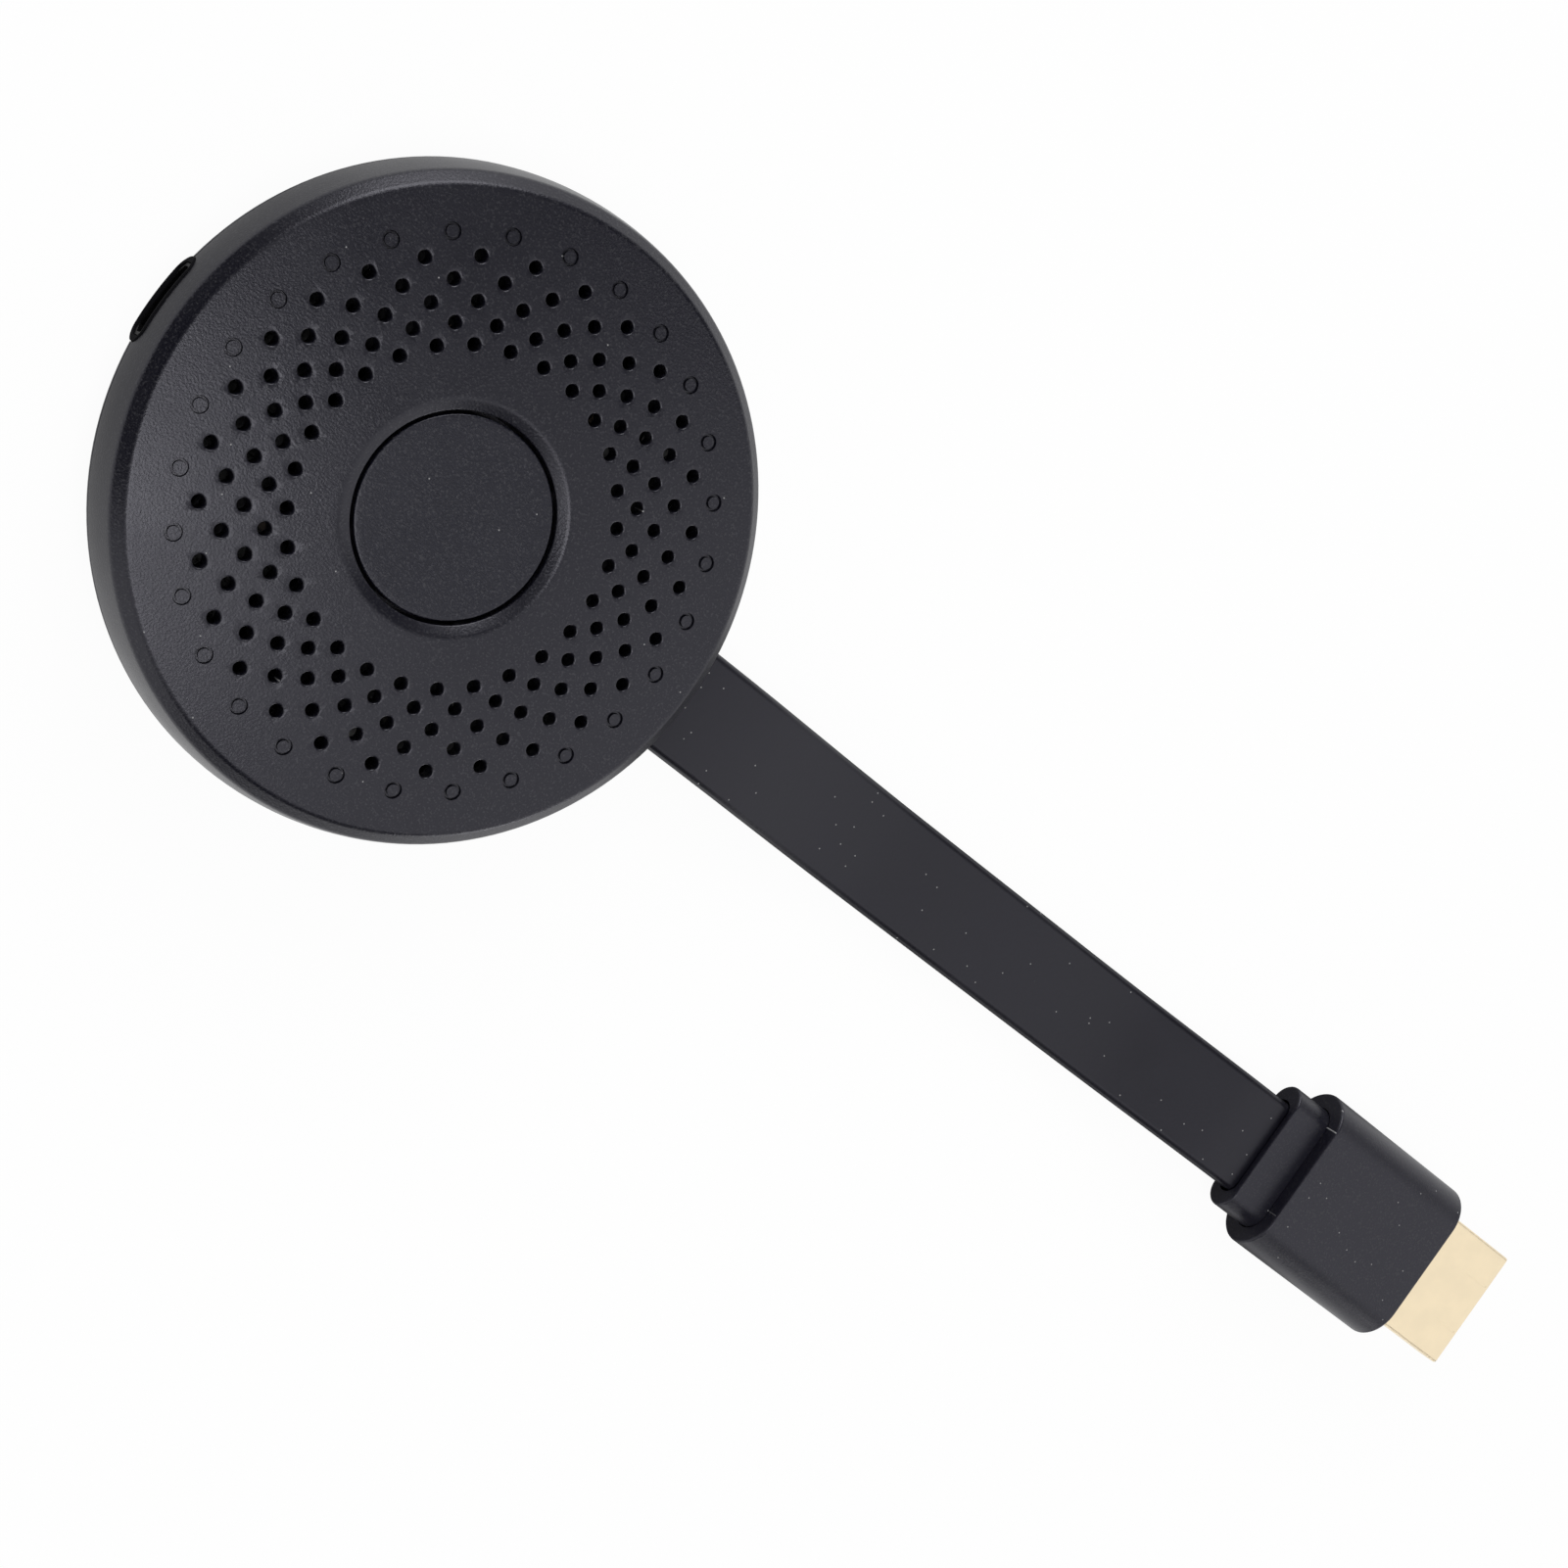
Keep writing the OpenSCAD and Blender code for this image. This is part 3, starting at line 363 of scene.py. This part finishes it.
def rubberFinish(name, colour, roughness, gloss, **grain):
    # soft plastic or rubber, whose gloss is weaker than that of a hard moulding
    finish = plasticFinish(name, colour, roughness, 0.35, 0.012, spread=0.025, **grain)
    finish.set("Specular IOR Level", gloss)
    return finish


def metalFinish(name, colour, roughness, grain=0.2, relief=0.002, stretch=(1, 1, 1)):
    # plated or rolled sheet: faint drawing lines and handling marks
    finish = Finish(name, colour, roughness, 1.0)
    lines = finish.noise(grain, 3.0, stretch)
    smears = finish.noise(3.0, 2.0)
    finish.set("Base Color", finish.mix(smears.range(0.3, 0.7), shade(colour, 0.94), shade(colour, 1.0)))
    finish.set("Roughness", smears.range(0.3, 0.7, roughness * 0.92, roughness * 1.08))
    finish.bump(lines, relief)
    return finish


def boardFinish(name, colour):
    # solder mask over copper runs
    finish = Finish(name, colour, 0.35)
    runs = finish.node("ShaderNodeTexBrick", {"offset": 0.35}, {"Vector": finish.place, "Scale": 320.0,
                       "Mortar Size": 0.12, "Mortar Smooth": 0.4, "Color1": (1, 1, 1, 1), "Color2": (0.8, 0.8, 0.8, 1),
                       "Mortar": (0, 0, 0, 1)}, "Fac")
    pads = finish.specks(1.9, 0.42, 0.2)
    copper = finish.mix(runs, shade(colour, 1.0), shade(colour, 1.9))
    finish.set("Base Color", finish.mix(pads, copper, (0.06, 0.055, 0.045, 1)))
    finish.bump(runs, 0.03)
    return finish


black = (0.0054, 0.0054, 0.012)
finishes = {
    "case_plastic": plasticFinish("casePlastic", black, 0.33, 0.21, 0.028, dust=0.04, spread=0.025, paintedGlint=2.25),
    "button_plastic": plasticFinish("buttonPlastic", (0.0016, 0.0021, 0.0092), 0.34, 0.19, 0.03, dust=0.04, spread=0.025, paintedGlint=3.1),
    "cable_jacket": rubberFinish("cableJacket", (0.0038, 0.0036, 0.007), 0.36, 0.48, dust=0.22),
    "plug_plastic": plasticFinish("plugPlastic", (0.0108, 0.0103, 0.0195), 0.38, 0.22, 0.02, dust=0.15, spread=0.025, paintedGlint=1.1),
    "gold_plate": metalFinish("goldPlate", (0.94, 0.8, 0.57), 0.34, 0.12, 0.0002, (0.15, 1, 1)),
    "contact_gold": metalFinish("contactGold", (0.95, 0.72, 0.36), 0.25),
    # tin plate made far darker than bright tin: painted shade for the tin parts inside the case, seen through the vent
    # holes
    "tin_plate": metalFinish("tinPlateWithPaintedShade", (0.16, 0.16, 0.16), 0.5),
    # plating made nearly black: painted shade for the metal deep in the socket slot
    "black_nickel": metalFinish("socketPlatePaintedShade", (0.015, 0.015, 0.016), 0.42),
    # nearly glossless black insert filling the socket slot: a dark piece put where the inside of the slot lies in shade
    "bezel_rubber": rubberFinish("slotInsertPaintedShade", (0.005, 0.005, 0.006), 0.85, 0.1),
    # steel made far darker than bare or zinc-plated steel: painted shade for the screws and steel parts inside the case
    "steel": metalFinish("steelWithPaintedShade", (0.2, 0.2, 0.2), 0.45),
    "black_moulding": plasticFinish("blackMoulding", (0.012, 0.012, 0.012), 0.4, 0.2, 0.006),
    "core_moulding": plasticFinish("coreMoulding", (0.5, 0.5, 0.48), 0.5, 0.3, 0.01),
    "board_laminate": boardFinish("boardLaminate", (0.003, 0.0035, 0.0035)),
    "radio_laminate": boardFinish("radioLaminate", (0.003, 0.0035, 0.004)),
    "chip_mould": plasticFinish("chipMould", (0.02, 0.02, 0.02), 0.6, 0.1, 0.01),
    "ferrite": plasticFinish("ferriteCore", (0.06, 0.06, 0.062), 0.65, 0.15, 0.02),
    # ceramic made darker than its own tan: painted shade for the capacitors inside the case, seen through the vent
    # holes
    "capacitor_ceramic": plasticFinish("ceramicWithPaintedShade", (0.09, 0.065, 0.04), 0.5, 0.1, 0.004),
    "heat_pad": plasticFinish("heatPad", (0.1, 0.11, 0.13), 0.8, 0.3, 0.03),
    "sink_metal": metalFinish("sinkMetal", (0.012, 0.012, 0.013), 0.5, 0.15, 0.004, (1, 0.1, 1)),
    "led_lens": plasticFinish("ledLens", (0.75, 0.75, 0.7), 0.25, 0.3, 0.002),
    "wire_insulation": plasticFinish("wireInsulation", (0.008, 0.008, 0.008), 0.4, 0.4, 0.004),
}
for entry in frame["record"]["subparts"]:
    for holder in nodes[entry["node"]].material_slots:
        holder.material = finishes[entry["material_slot"]].material
print("finishes made:", len(finishes))


# flat cable, along the CAD's route from the rim of the case to the plug's collar
cableShape = {
    "wide": 11.0, "thick": 2.4, "corner": 0.75, "length": 87.3,
    "route": [(30.4, 5.2), (33, 5.15), (36, 4.95), (39, 4.6), (42, 4.1), (45, 3.5), (48, 2.9), (51, 2.35), (54, 1.9),
              (57, 1.55), (60, 1.3), (64, 1.2), (70, 1.2), (76, 1.2), (82, 1.2), (88, 1.2), (93, 1.35), (97, 1.65),
              (101, 2.15), (105, 2.75), (109, 3.35), (112, 3.7), (115, 3.87), (117, 3.9)],
}


def smoothRoute(stops, parts):
    # a Catmull-Rom curve through the stops
    ends = [stops[0] * 2 - stops[1], *stops, stops[-1] * 2 - stops[-2]]
    points = []
    for a, b, c, d in zip(ends, ends[1:], ends[2:], ends[3:]):
        for i in range(parts):
            t = i / parts
            points.append(((b * 2) + (c - a) * t + (a * 2 - b * 5 + c * 4 - d) * t ** 2
                           + (b * 3 - a - c * 3 + d) * t ** 3) / 2)
    return points + [stops[-1]]


def makeCable(shape):
    points = smoothRoute([Vector((x, 0, z)) for x, z in shape["route"]], 4)
    piece = roundBar("flatCable", shape["wide"], shape["thick"], points[0].x, points[0].x + 1, points[0].z,
                     corner=shape["corner"])
    startEdit(piece, "FACE")
    selectWhere(piece, "faces", lambda middle, normal: middle.x > points[0].x + 0.9)
    bpy.ops.transform.translate(value=(points[1].x - points[0].x - 1, 0, points[1].z - points[0].z))
    heading = 0.0
    for before, here, after in zip(points, points[1:], points[2:]):
        run = after - before
        slope = -math.atan2(run.z, run.x)
        bpy.ops.transform.rotate(value=heading - slope, orient_axis="Y", center_override=here)
        heading = slope
        bpy.ops.mesh.extrude_region_move(TRANSFORM_OT_translate={"value": after - here})
    bpy.ops.transform.rotate(value=heading, orient_axis="Y", center_override=points[-1])
    mergeAndTurnOut()
    finishPiece(piece, "case", "cable_jacket", ["flat_cable"])
    onPlug = ["plug_cable_end", "plug_core", "plug_insulator", "plug_contacts"]
    return piece, [nodes[name] for name in onPlug]


cable, plugNodes = makeCable(cableShape)


# front shell: domed face with its rings of holes, chamfer and side wall
caseShape = {
    "radius": 30.5, "height": 13.0, "domeRadius": 236.0, "faceRadius": 28.8, "chamfer": 1.1, "parting": 5.2,
    "sideRadius": 20.6, "wall": 1.6, "faceThick": 1.8, "bore": 9.5, "bevel": 10.55, "bevelDepth": 0.45,
    "barrel": 10.7, "barrelFoot": 9.0, "edge": 0.3, "steps": 168,
}
holeShape = {
    "radius": 0.625, "count": 28, "rings": [15.2, 17.05, 18.9, 20.75, 22.75], "steps": 20, "foot": 8.0,
    "rim": [(0.0, -0.08), (0.04, -0.03), (0.16, 0.0), (0.56, 0.1)],
}
markShape = {"radius": 24.75, "steps": 24, "groove": [(0.53, 0.12), (0.58, -0.3), (0.75, -0.3), (0.84, 0.12)]}
openings = {"slot": (9.1, 3.4), "cable": (11.4, 2.8), "cradle": (23.3, 24.4), "cradleWide": 17.0}


def domeHeight(radius):
    return caseShape["height"] - radius ** 2 / (2 * caseShape["domeRadius"])


def sideRadius(height):
    arc = caseShape["sideRadius"]
    return caseShape["radius"] - arc + math.sqrt(arc ** 2 - (height - caseShape["parting"]) ** 2)


def seatOnDome(piece, radius, above):
    # what lies above this height is turned square to the dome, and then all of it goes out to the radius
    startEdit(piece)
    selectWhere(piece, "verts", lambda co: co.z > above)
    bpy.ops.transform.rotate(value=-math.atan(radius / caseShape["domeRadius"]), orient_axis="Y",
                             center_override=(0, 0, 0))
    bpy.ops.mesh.select_all(action="SELECT")
    bpy.ops.transform.translate(value=(radius, 0, domeHeight(radius)))
    bpy.ops.object.mode_set(mode="OBJECT")
    return piece


def holeCutter(radius, shape):
    # a straight bore whose rim is softly dished
    foot = shape["foot"] - domeHeight(radius)
    rim = [(shape["radius"] + out, height) for out, height in shape["rim"]]
    piece = lathe("holeCutter", [(0, foot), (shape["radius"], foot), *rim, (0, 0.6)], shape["steps"])
    return seatOnDome(piece, radius, rim[0][1] * 1.01)


def makeFrontShell(shape, holes, marks, gaps):
    face, edge, parting = shape["faceRadius"], shape["edge"], shape["parting"]
    chamferTop = domeHeight(face)
    sideTop = chamferTop - shape["chamfer"]
    ceiling = domeHeight(face) - shape["faceThick"]
    stops = [(shape["bore"], domeHeight(shape["bevel"]) - shape["bevelDepth"], 0.1),
             (shape["bevel"], domeHeight(shape["bevel"]), 0.25)]
    stops += [(radius, domeHeight(radius)) for radius in [11.3 + i * 1.05 for i in range(17)]]
    stops += [(face, chamferTop, edge), (sideRadius(sideTop), sideTop, edge)]
    rise = sideTop - parting
    stops += [(sideRadius(parting + rise * share), parting + rise * share) for share in (0.85, 0.65, 0.45, 0.25, 0.1)]
    stops += [(shape["radius"], parting, 0.15)]
    stops += [(sideRadius(z) - shape["wall"], z) for z in (parting, (parting + ceiling) / 2, ceiling)]
    stops += [(radius, domeHeight(radius) - shape["faceThick"]) for radius in (27.2, 24, 20, 16, 12, shape["barrel"])]
    stops += [(shape["barrel"], shape["barrelFoot"]), (shape["bore"], shape["barrelFoot"])]
    piece = lathe("caseFront", stops, shape["steps"])
    cradle = gaps["cradle"]
    wide = gaps["cradleWide"] / 2
    boolean(piece, [box("cradle", (cradle[0], -wide, parting), (cradle[1], wide, domeHeight(cradle[0]) - 1.2))], "UNION")
    cutters = []
    for i, radius in enumerate(holes["rings"]):
        turn = 180 / holes["count"] if i % 2 == 0 else 0
        cutters.append(ringOfCopies(holeCutter(radius, holes), holes["count"], turn))
    groove = seatOnDome(lathe("groove", marks["groove"], marks["steps"]), marks["radius"], -1)
    cutters.append(ringOfCopies(groove, holes["count"], 0))
    boolean(piece, cutters)
    slot, exit = gaps["slot"], gaps["cable"]
    boolean(piece, [roundBar("slot", *slot, -33, -27, parting), roundBar("exit", *exit, 22, 33, parting)])
    finishPiece(piece, "case", "case_plastic", ["front_shell"])


makeFrontShell(caseShape, holeShape, markShape, openings)


# back shell: dished underside, skirt, lip, standoffs and the lower cradle
backShape = {
    "base": 21.5, "dishRadius": 10.84, "skirt": 4.8, "lip": (27.7, 28.8), "lipTop": 6.4, "lipFoot": 4.0,
    "standoffs": (50, 150, 290), "standoffRing": 22.36, "standoff": 2.2, "standoffTop": 2.95, "screwHole": 0.84,
    "grommet": (15.2, 4.0, 24.4, 27.1), "usbGap": (8.7, -30.0, -23.7), "lipGap": 16.6,
}


def dishPoints(shape, inset, low, high, count):
    arc = shape["dishRadius"] - inset
    heights = [low + (high - low) * (1 - math.cos(math.pi / 2 * i / count)) for i in range(count + 1)]
    middle = shape["dishRadius"]
    return [(shape["base"] + math.sqrt(max(arc ** 2 - (middle - z) ** 2, 0)), z) for z in heights]


def makeBackShell(shape, case, gaps):
    wall, parting = case["wall"], case["parting"]
    stops = [(0, 0), (10, 0)] + dishPoints(shape, 0, 0, shape["skirt"], 12)
    stops += [(case["radius"], parting, 0.15), (shape["lip"][1], parting), (shape["lip"][1], shape["lipTop"], 0.2),
              (shape["lip"][0], shape["lipTop"], 0.2)]
    stops += dishPoints(shape, wall, wall, shape["lipFoot"], 6)[::-1] + [(0, wall)]
    piece = lathe("caseBack", stops, case["steps"])
    posts, bores = [], []
    for angle in shape["standoffs"]:
        turn = math.radians(angle)
        spot = (shape["standoffRing"] * math.cos(turn), shape["standoffRing"] * math.sin(turn))
        for group, size, low, high in ((posts, shape["standoff"], 1.2, shape["standoffTop"]),
                                       (bores, shape["screwHole"], 0.95, 4.0)):
            clearSelection()
            bpy.ops.mesh.primitive_cylinder_add(vertices=32, radius=size, depth=high - low,
                                                location=(*spot, (high + low) / 2))
            bpy.ops.object.transform_apply(location=True, rotation=True, scale=True)
            group.append(bpy.context.object)
    cradle, wide = gaps["cradle"], gaps["cradleWide"] / 2
    posts.append(box("cradle", (cradle[0], -wide, 1.2), (cradle[1], wide, parting - 0.1)))
    boolean(piece, posts, "UNION")
    usb, lipGap = shape["usbGap"], shape["lipGap"] / 2
    boolean(piece, bores)
    boolean(piece, [roundBar("slot", *gaps["slot"], -33, -27, parting)])
    boolean(piece, [roundBar("exit", *gaps["cable"], 22, 33, parting)])
    boolean(piece, [roundBar("grommetSeat", *shape["grommet"], parting)])
    boolean(piece, [box("lipGap", (cradle[1], -lipGap, parting), (32, lipGap, 8)),
                    box("usbGap", (usb[1] - 2, -usb[0] / 2, parting), (usb[2], usb[0] / 2, 8)),
                    ])
    boolean(piece, [box("usbSeat", (-28.9, -usb[0] / 2, 3.85), (usb[2], usb[0] / 2, 5.3))])
    finishPiece(piece, "case", "case_plastic", ["back_shell"])


makeBackShell(backShape, caseShape, openings)


# button: cap with a rounded edge, skirt, flange and stem
buttonShape = {"radius": 9.15, "top": 12.25, "edge": 0.2, "skirt": 0.9, "flange": 10.25, "flangeTop": 8.9,
               "flangeFoot": 8.1, "capFoot": 10.85, "stem": 1.5, "stemFoot": 9.0, "ribs": 4, "steps": 128}


def makeButton(shape):
    inner = shape["radius"] - shape["skirt"]
    stops = [(0, shape["top"]), (3, shape["top"]), (6, shape["top"]), (8.4, shape["top"]),
             (shape["radius"], shape["top"], shape["edge"]), (shape["radius"], shape["flangeTop"]),
             (shape["flange"], shape["flangeTop"], 0.1), (shape["flange"], shape["flangeFoot"], 0.1),
             (inner, shape["flangeFoot"]), (inner, shape["capFoot"]), (shape["stem"], shape["capFoot"]),
             (shape["stem"], shape["stemFoot"], 0.15), (0, shape["stemFoot"])]
    piece = lathe("pushButton", stops, shape["steps"])
    rib = box("rib", (shape["radius"] - 0.45, -0.6, shape["flangeTop"] - 0.02), (9.45, 0.6, 10.8), 0.1)
    boolean(piece, [ringOfCopies(rib, shape["ribs"], 45)], "UNION")
    finishPiece(piece, "button", "button_plastic", ["mode_button"])


makeButton(buttonShape)


# snap dome of the push switch, which sits under the plunger
domeShape = {"radius": 2.1, "foot": 5.45, "rise": 0.5, "sheet": 0.08, "travel": 0.4, "rings": 8, "steps": 48}


def makeSnapDome(shape):
    radius, foot, rise, sheet = shape["radius"], shape["foot"], shape["rise"], shape["sheet"]
    shares = [i / shape["rings"] for i in range(shape["rings"] + 1)]
    outside = [(radius * share, foot + rise * (1 - share ** 2)) for share in shares]
    inside = [((radius - sheet) * share, foot + (rise - sheet) * (1 - share ** 2)) for share in shares]
    piece = lathe("snapDome", outside + inside[::-1], shape["steps"], closed=False)
    finishPiece(piece, "case", "steel", ["switch_dome"])
    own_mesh(piece)


makeSnapDome(domeShape)


# plug: collar, body and metal shell
plugShape = {
    "height": 3.9, "cable": (11.0, 2.4), "collar": (15.0, 4.4, 117.0, 122.8), "mouth": (11.6, 3.0, 116.0, 118.6),
    "body": (18.7, 7.8, 121.8, 142.6), "edge": 0.28, "core": (16.3, 5.4, 124.2, 140.6), "gap": 0.12,
    "shellStart": 135.2, "tip": 152.6, "shellWide": 13.9, "shellHigh": 4.45, "cornerWide": 1.7, "cornerHigh": 1.3,
    "shellEdge": 0.35, "sheet": 0.35, "dimple": (3.3, 1.2, 0.02), "dimpleSide": 3.0, "dimpleBack": 0.35,
}


def shellBar(name, shape, grow, start, end):
    # a bar with the plug shell's section, narrower at the bottom
    wide, high = shape["shellWide"] / 2 + grow, shape["shellHigh"] / 2 + grow
    middle = shape["height"]
    piece = box(name, (start, -wide, middle - high), (end, wide, middle + high))
    startEdit(piece)
    bpy.ops.mesh.select_all(action="SELECT")
    bpy.ops.mesh.bisect(plane_co=(0, 0, middle - high + shape["cornerHigh"]), plane_no=(0, 0, 1))
    selectWhere(piece, "verts", lambda co: co.z < middle - high + 0.01)
    bpy.ops.transform.resize(value=(1, 1 - shape["cornerWide"] / wide, 1), center_override=(0, 0, middle))
    bpy.ops.mesh.select_mode(type="EDGE")
    selectWhere(piece, "edges", lambda centre, run: abs(run.x) > 0.9 * (end - start))
    bpy.ops.mesh.bevel(offset=shape["shellEdge"] + grow, offset_type="OFFSET", segments=4, profile=0.5,
                       affect="EDGES")
    mergeAndTurnOut()
    return piece


def makePlug(shape):
    height, wide, high = shape["height"], *shape["cable"]
    collar = roundBar("plugCollar", *shape["collar"], height, shape["edge"])
    boolean(collar, [roundBar("cablePath", wide, high, 110, 130, height)])
    boolean(collar, [roundBar("mouth", *shape["mouth"], height)])
    finishPiece(collar, "case", "plug_plastic", ["plug_collar"])

    body = roundBar("plugBody", *shape["body"], height, shape["edge"])
    gap = shape["gap"]
    collarWide, collarHigh, start, end = shape["collar"]
    boolean(body, [roundBar("collarSeat", collarWide + 2 * gap, collarHigh + 2 * gap, start, end, height)])
    boolean(body, [roundBar("coreSpace", *shape["core"], height)])
    boolean(body, [roundBar("cablePath", wide, high, 122, 125, height)])
    boolean(body, [shellBar("shellSpace", shape, 0.06, 139, 145)])
    finishPiece(body, "case", "plug_plastic", ["plug_body"])

    shell = shellBar("plugShell", shape, 0, shape["shellStart"], shape["tip"])
    startEdit(shell, "FACE")
    selectWhere(shell, "faces", lambda middle, normal: abs(normal.x) > 0.9)
    bpy.ops.mesh.delete(type="FACE")
    bpy.ops.object.mode_set(mode="OBJECT")
    applyModifier(shell, "SOLIDIFY", thickness=shape["sheet"], offset=-1, use_even_offset=True)
    applyModifier(shell, "BEVEL", width=0.06, segments=2, limit_method="ANGLE", angle_limit=math.radians(60))
    long, across, deep = shape["dimple"]
    top = height + shape["shellHigh"] / 2
    tools = []
    for side in (-shape["dimpleSide"], shape["dimpleSide"]):
        end = shape["tip"] - shape["dimpleBack"]
        tools.append(roundBar("dimple", across + 0.01, across, end - long, end, top + across / 2 - deep))
        tools[-1].location.y = side
        bpy.ops.object.transform_apply(location=True, rotation=True, scale=True)
    boolean(shell, tools)
    finishPiece(shell, "case", "gold_plate", ["plug_shell"])
    return [collar, body, shell]


plugPieces = makePlug(plugShape)


# floor, surroundings and lamps; each card and softbox has its bearing, height and half breadth in degrees
studio = {
    "floor": 8.0, "floorWhite": 0.9, "floorGlow": 0.95, "skyForObject": 0.5, "shadeNear": 0.15, "shadeReach": (2, 12), "cardDistance": 1.5, "lampDistance": 1.2,
    "softboxes": {"topSoftbox": (-98, 79, 12, 6.0), "backSoftbox": (115, 28, 18, 4.1), "sideSoftbox": (-29, 3, 11, 4.4)},
    "cards": {"backCard": (68, 36, 26), "frontCard": (-62, 22, 30), "topCard": (152, 87, 25), "endCard": (176, 19, 47)},
}


def headingOf(bearing, height):
    return Vector((math.cos(math.radians(height)) * math.cos(math.radians(bearing)),
                   math.cos(math.radians(height)) * math.sin(math.radians(bearing)), math.sin(math.radians(height))))


def rayShare(finish, *kinds):
    rays = [finish.node("ShaderNodeLightPath", {}, {}, kind) for kind in kinds]
    total = rays[0]
    for ray in rays[1:]:
        total = total.sum("MAXIMUM", total, ray)
    return total


def makeStudio(setup):
    clearSelection()
    bpy.ops.mesh.primitive_plane_add(size=setup["floor"], location=(0.06, 0, -0.00005))
    floor = bpy.context.object
    floor.name = "studioFloor"
    bpy.ops.object.transform_apply(location=True, rotation=True, scale=True)
    white = setup["floorWhite"]
    paper = Finish("floorPaper", (white, white, white), 0.9)
    paper.set("Specular IOR Level", 0.0)
    # in gloss, the paper under and beside the adapter is darkened by where it lies, a painted contact shadow that only
    # reflections show; camera rays see it white
    run = paper.node("ShaderNodeSeparateXYZ", {}, {"Vector": paper.place}, "X")
    held = paper.node("ShaderNodeClamp", {}, {"Value": run, "Min": 0.0, "Max": 0.125})
    foot = paper.node("ShaderNodeCombineXYZ", {}, {"X": held})
    across = run.range(0.104, 0.118, 4 * mm, 9 * mm)
    strip = paper.node("ShaderNodeVectorMath", {"operation": "DISTANCE"}, {0: paper.place, 1: foot}, "Value") - across
    disc = paper.node("ShaderNodeVectorMath", {"operation": "DISTANCE"}, {0: paper.place, 1: (-15 * mm, 0, 0)}, "Value")
    near, far = setup["shadeReach"]
    away = strip.sum("MINIMUM", strip.range(near * mm, far * mm), disc.range(18.5 * mm, 36.5 * mm, 0.34, 1.0))
    seen = away.sum("MAXIMUM", away, rayShare(paper, "Is Camera Ray"))
    colour = paper.mix(seen, shade((1, 1, 1), setup["shadeNear"]), (1, 1, 1, 1))
    glow = paper.node("ShaderNodeEmission", {}, {"Color": colour, "Strength": 1.0})
    share = rayShare(paper, "Is Camera Ray", "Is Glossy Ray", "Is Transmission Ray") * setup["floorGlow"]
    lit = Wire(paper, paper.shader.outputs[0])
    mixed = paper.node("ShaderNodeMixShader", {}, {0: share, 1: lit, 2: glow})
    paper.tree.links.new(mixed.socket, paper.tree.nodes["Material Output"].inputs["Surface"])
    floor.data.materials.append(paper.material)

    cloth = Finish("cardCloth", (0.01, 0.01, 0.01), 0.9).material
    for name, (bearing, height, breadth) in setup["cards"].items():
        heading = headingOf(bearing, height)
        clearSelection()
        bpy.ops.mesh.primitive_circle_add(vertices=48, radius=setup["cardDistance"] * math.tan(math.radians(breadth)),
                                          fill_type="NGON", location=heading * setup["cardDistance"])
        card = bpy.context.object
        card.name = name
        card.rotation_mode = "QUATERNION"
        card.rotation_quaternion = heading.to_track_quat("Z", "Y")
        card.data.materials.append(cloth)
        for ray in ("camera", "diffuse", "shadow", "transmission"):
            setattr(card, "visible_" + ray, False)

    for name, (bearing, height, breadth, radiance) in setup["softboxes"].items():
        heading = headingOf(bearing, height)
        size = 2 * setup["lampDistance"] * math.tan(math.radians(breadth))
        bpy.ops.object.light_add(type="AREA", location=heading * setup["lampDistance"])
        lamp = bpy.context.object
        lamp.name = name
        lamp.rotation_mode = "QUATERNION"
        lamp.rotation_quaternion = heading.to_track_quat("Z", "Y")
        lamp.data.shape = "DISK"
        lamp.data.size = size
        lamp.data.energy = radiance * math.pi * math.pi * size ** 2 / 4

    world = bpy.data.worlds.new("studioWorld")
    bpy.context.scene.world = world
    world.use_nodes = True
    tree = world.node_tree
    back = tree.nodes["Background"]
    back.inputs["Color"].default_value = (1, 1, 1, 1)
    path = tree.nodes.new("ShaderNodeLightPath")
    total = path.outputs["Is Camera Ray"]
    for name in ("Is Glossy Ray", "Is Transmission Ray"):
        larger = tree.nodes.new("ShaderNodeMath")
        larger.operation = "MAXIMUM"
        tree.links.new(total, larger.inputs[0])
        tree.links.new(path.outputs[name], larger.inputs[1])
        total = larger.outputs[0]
    strength = tree.nodes.new("ShaderNodeMapRange")
    strength.inputs["To Min"].default_value = setup["skyForObject"]
    tree.links.new(total, strength.inputs["Value"])
    tree.links.new(strength.outputs[0], back.inputs["Strength"])


makeStudio(studio)
print("studio lit")
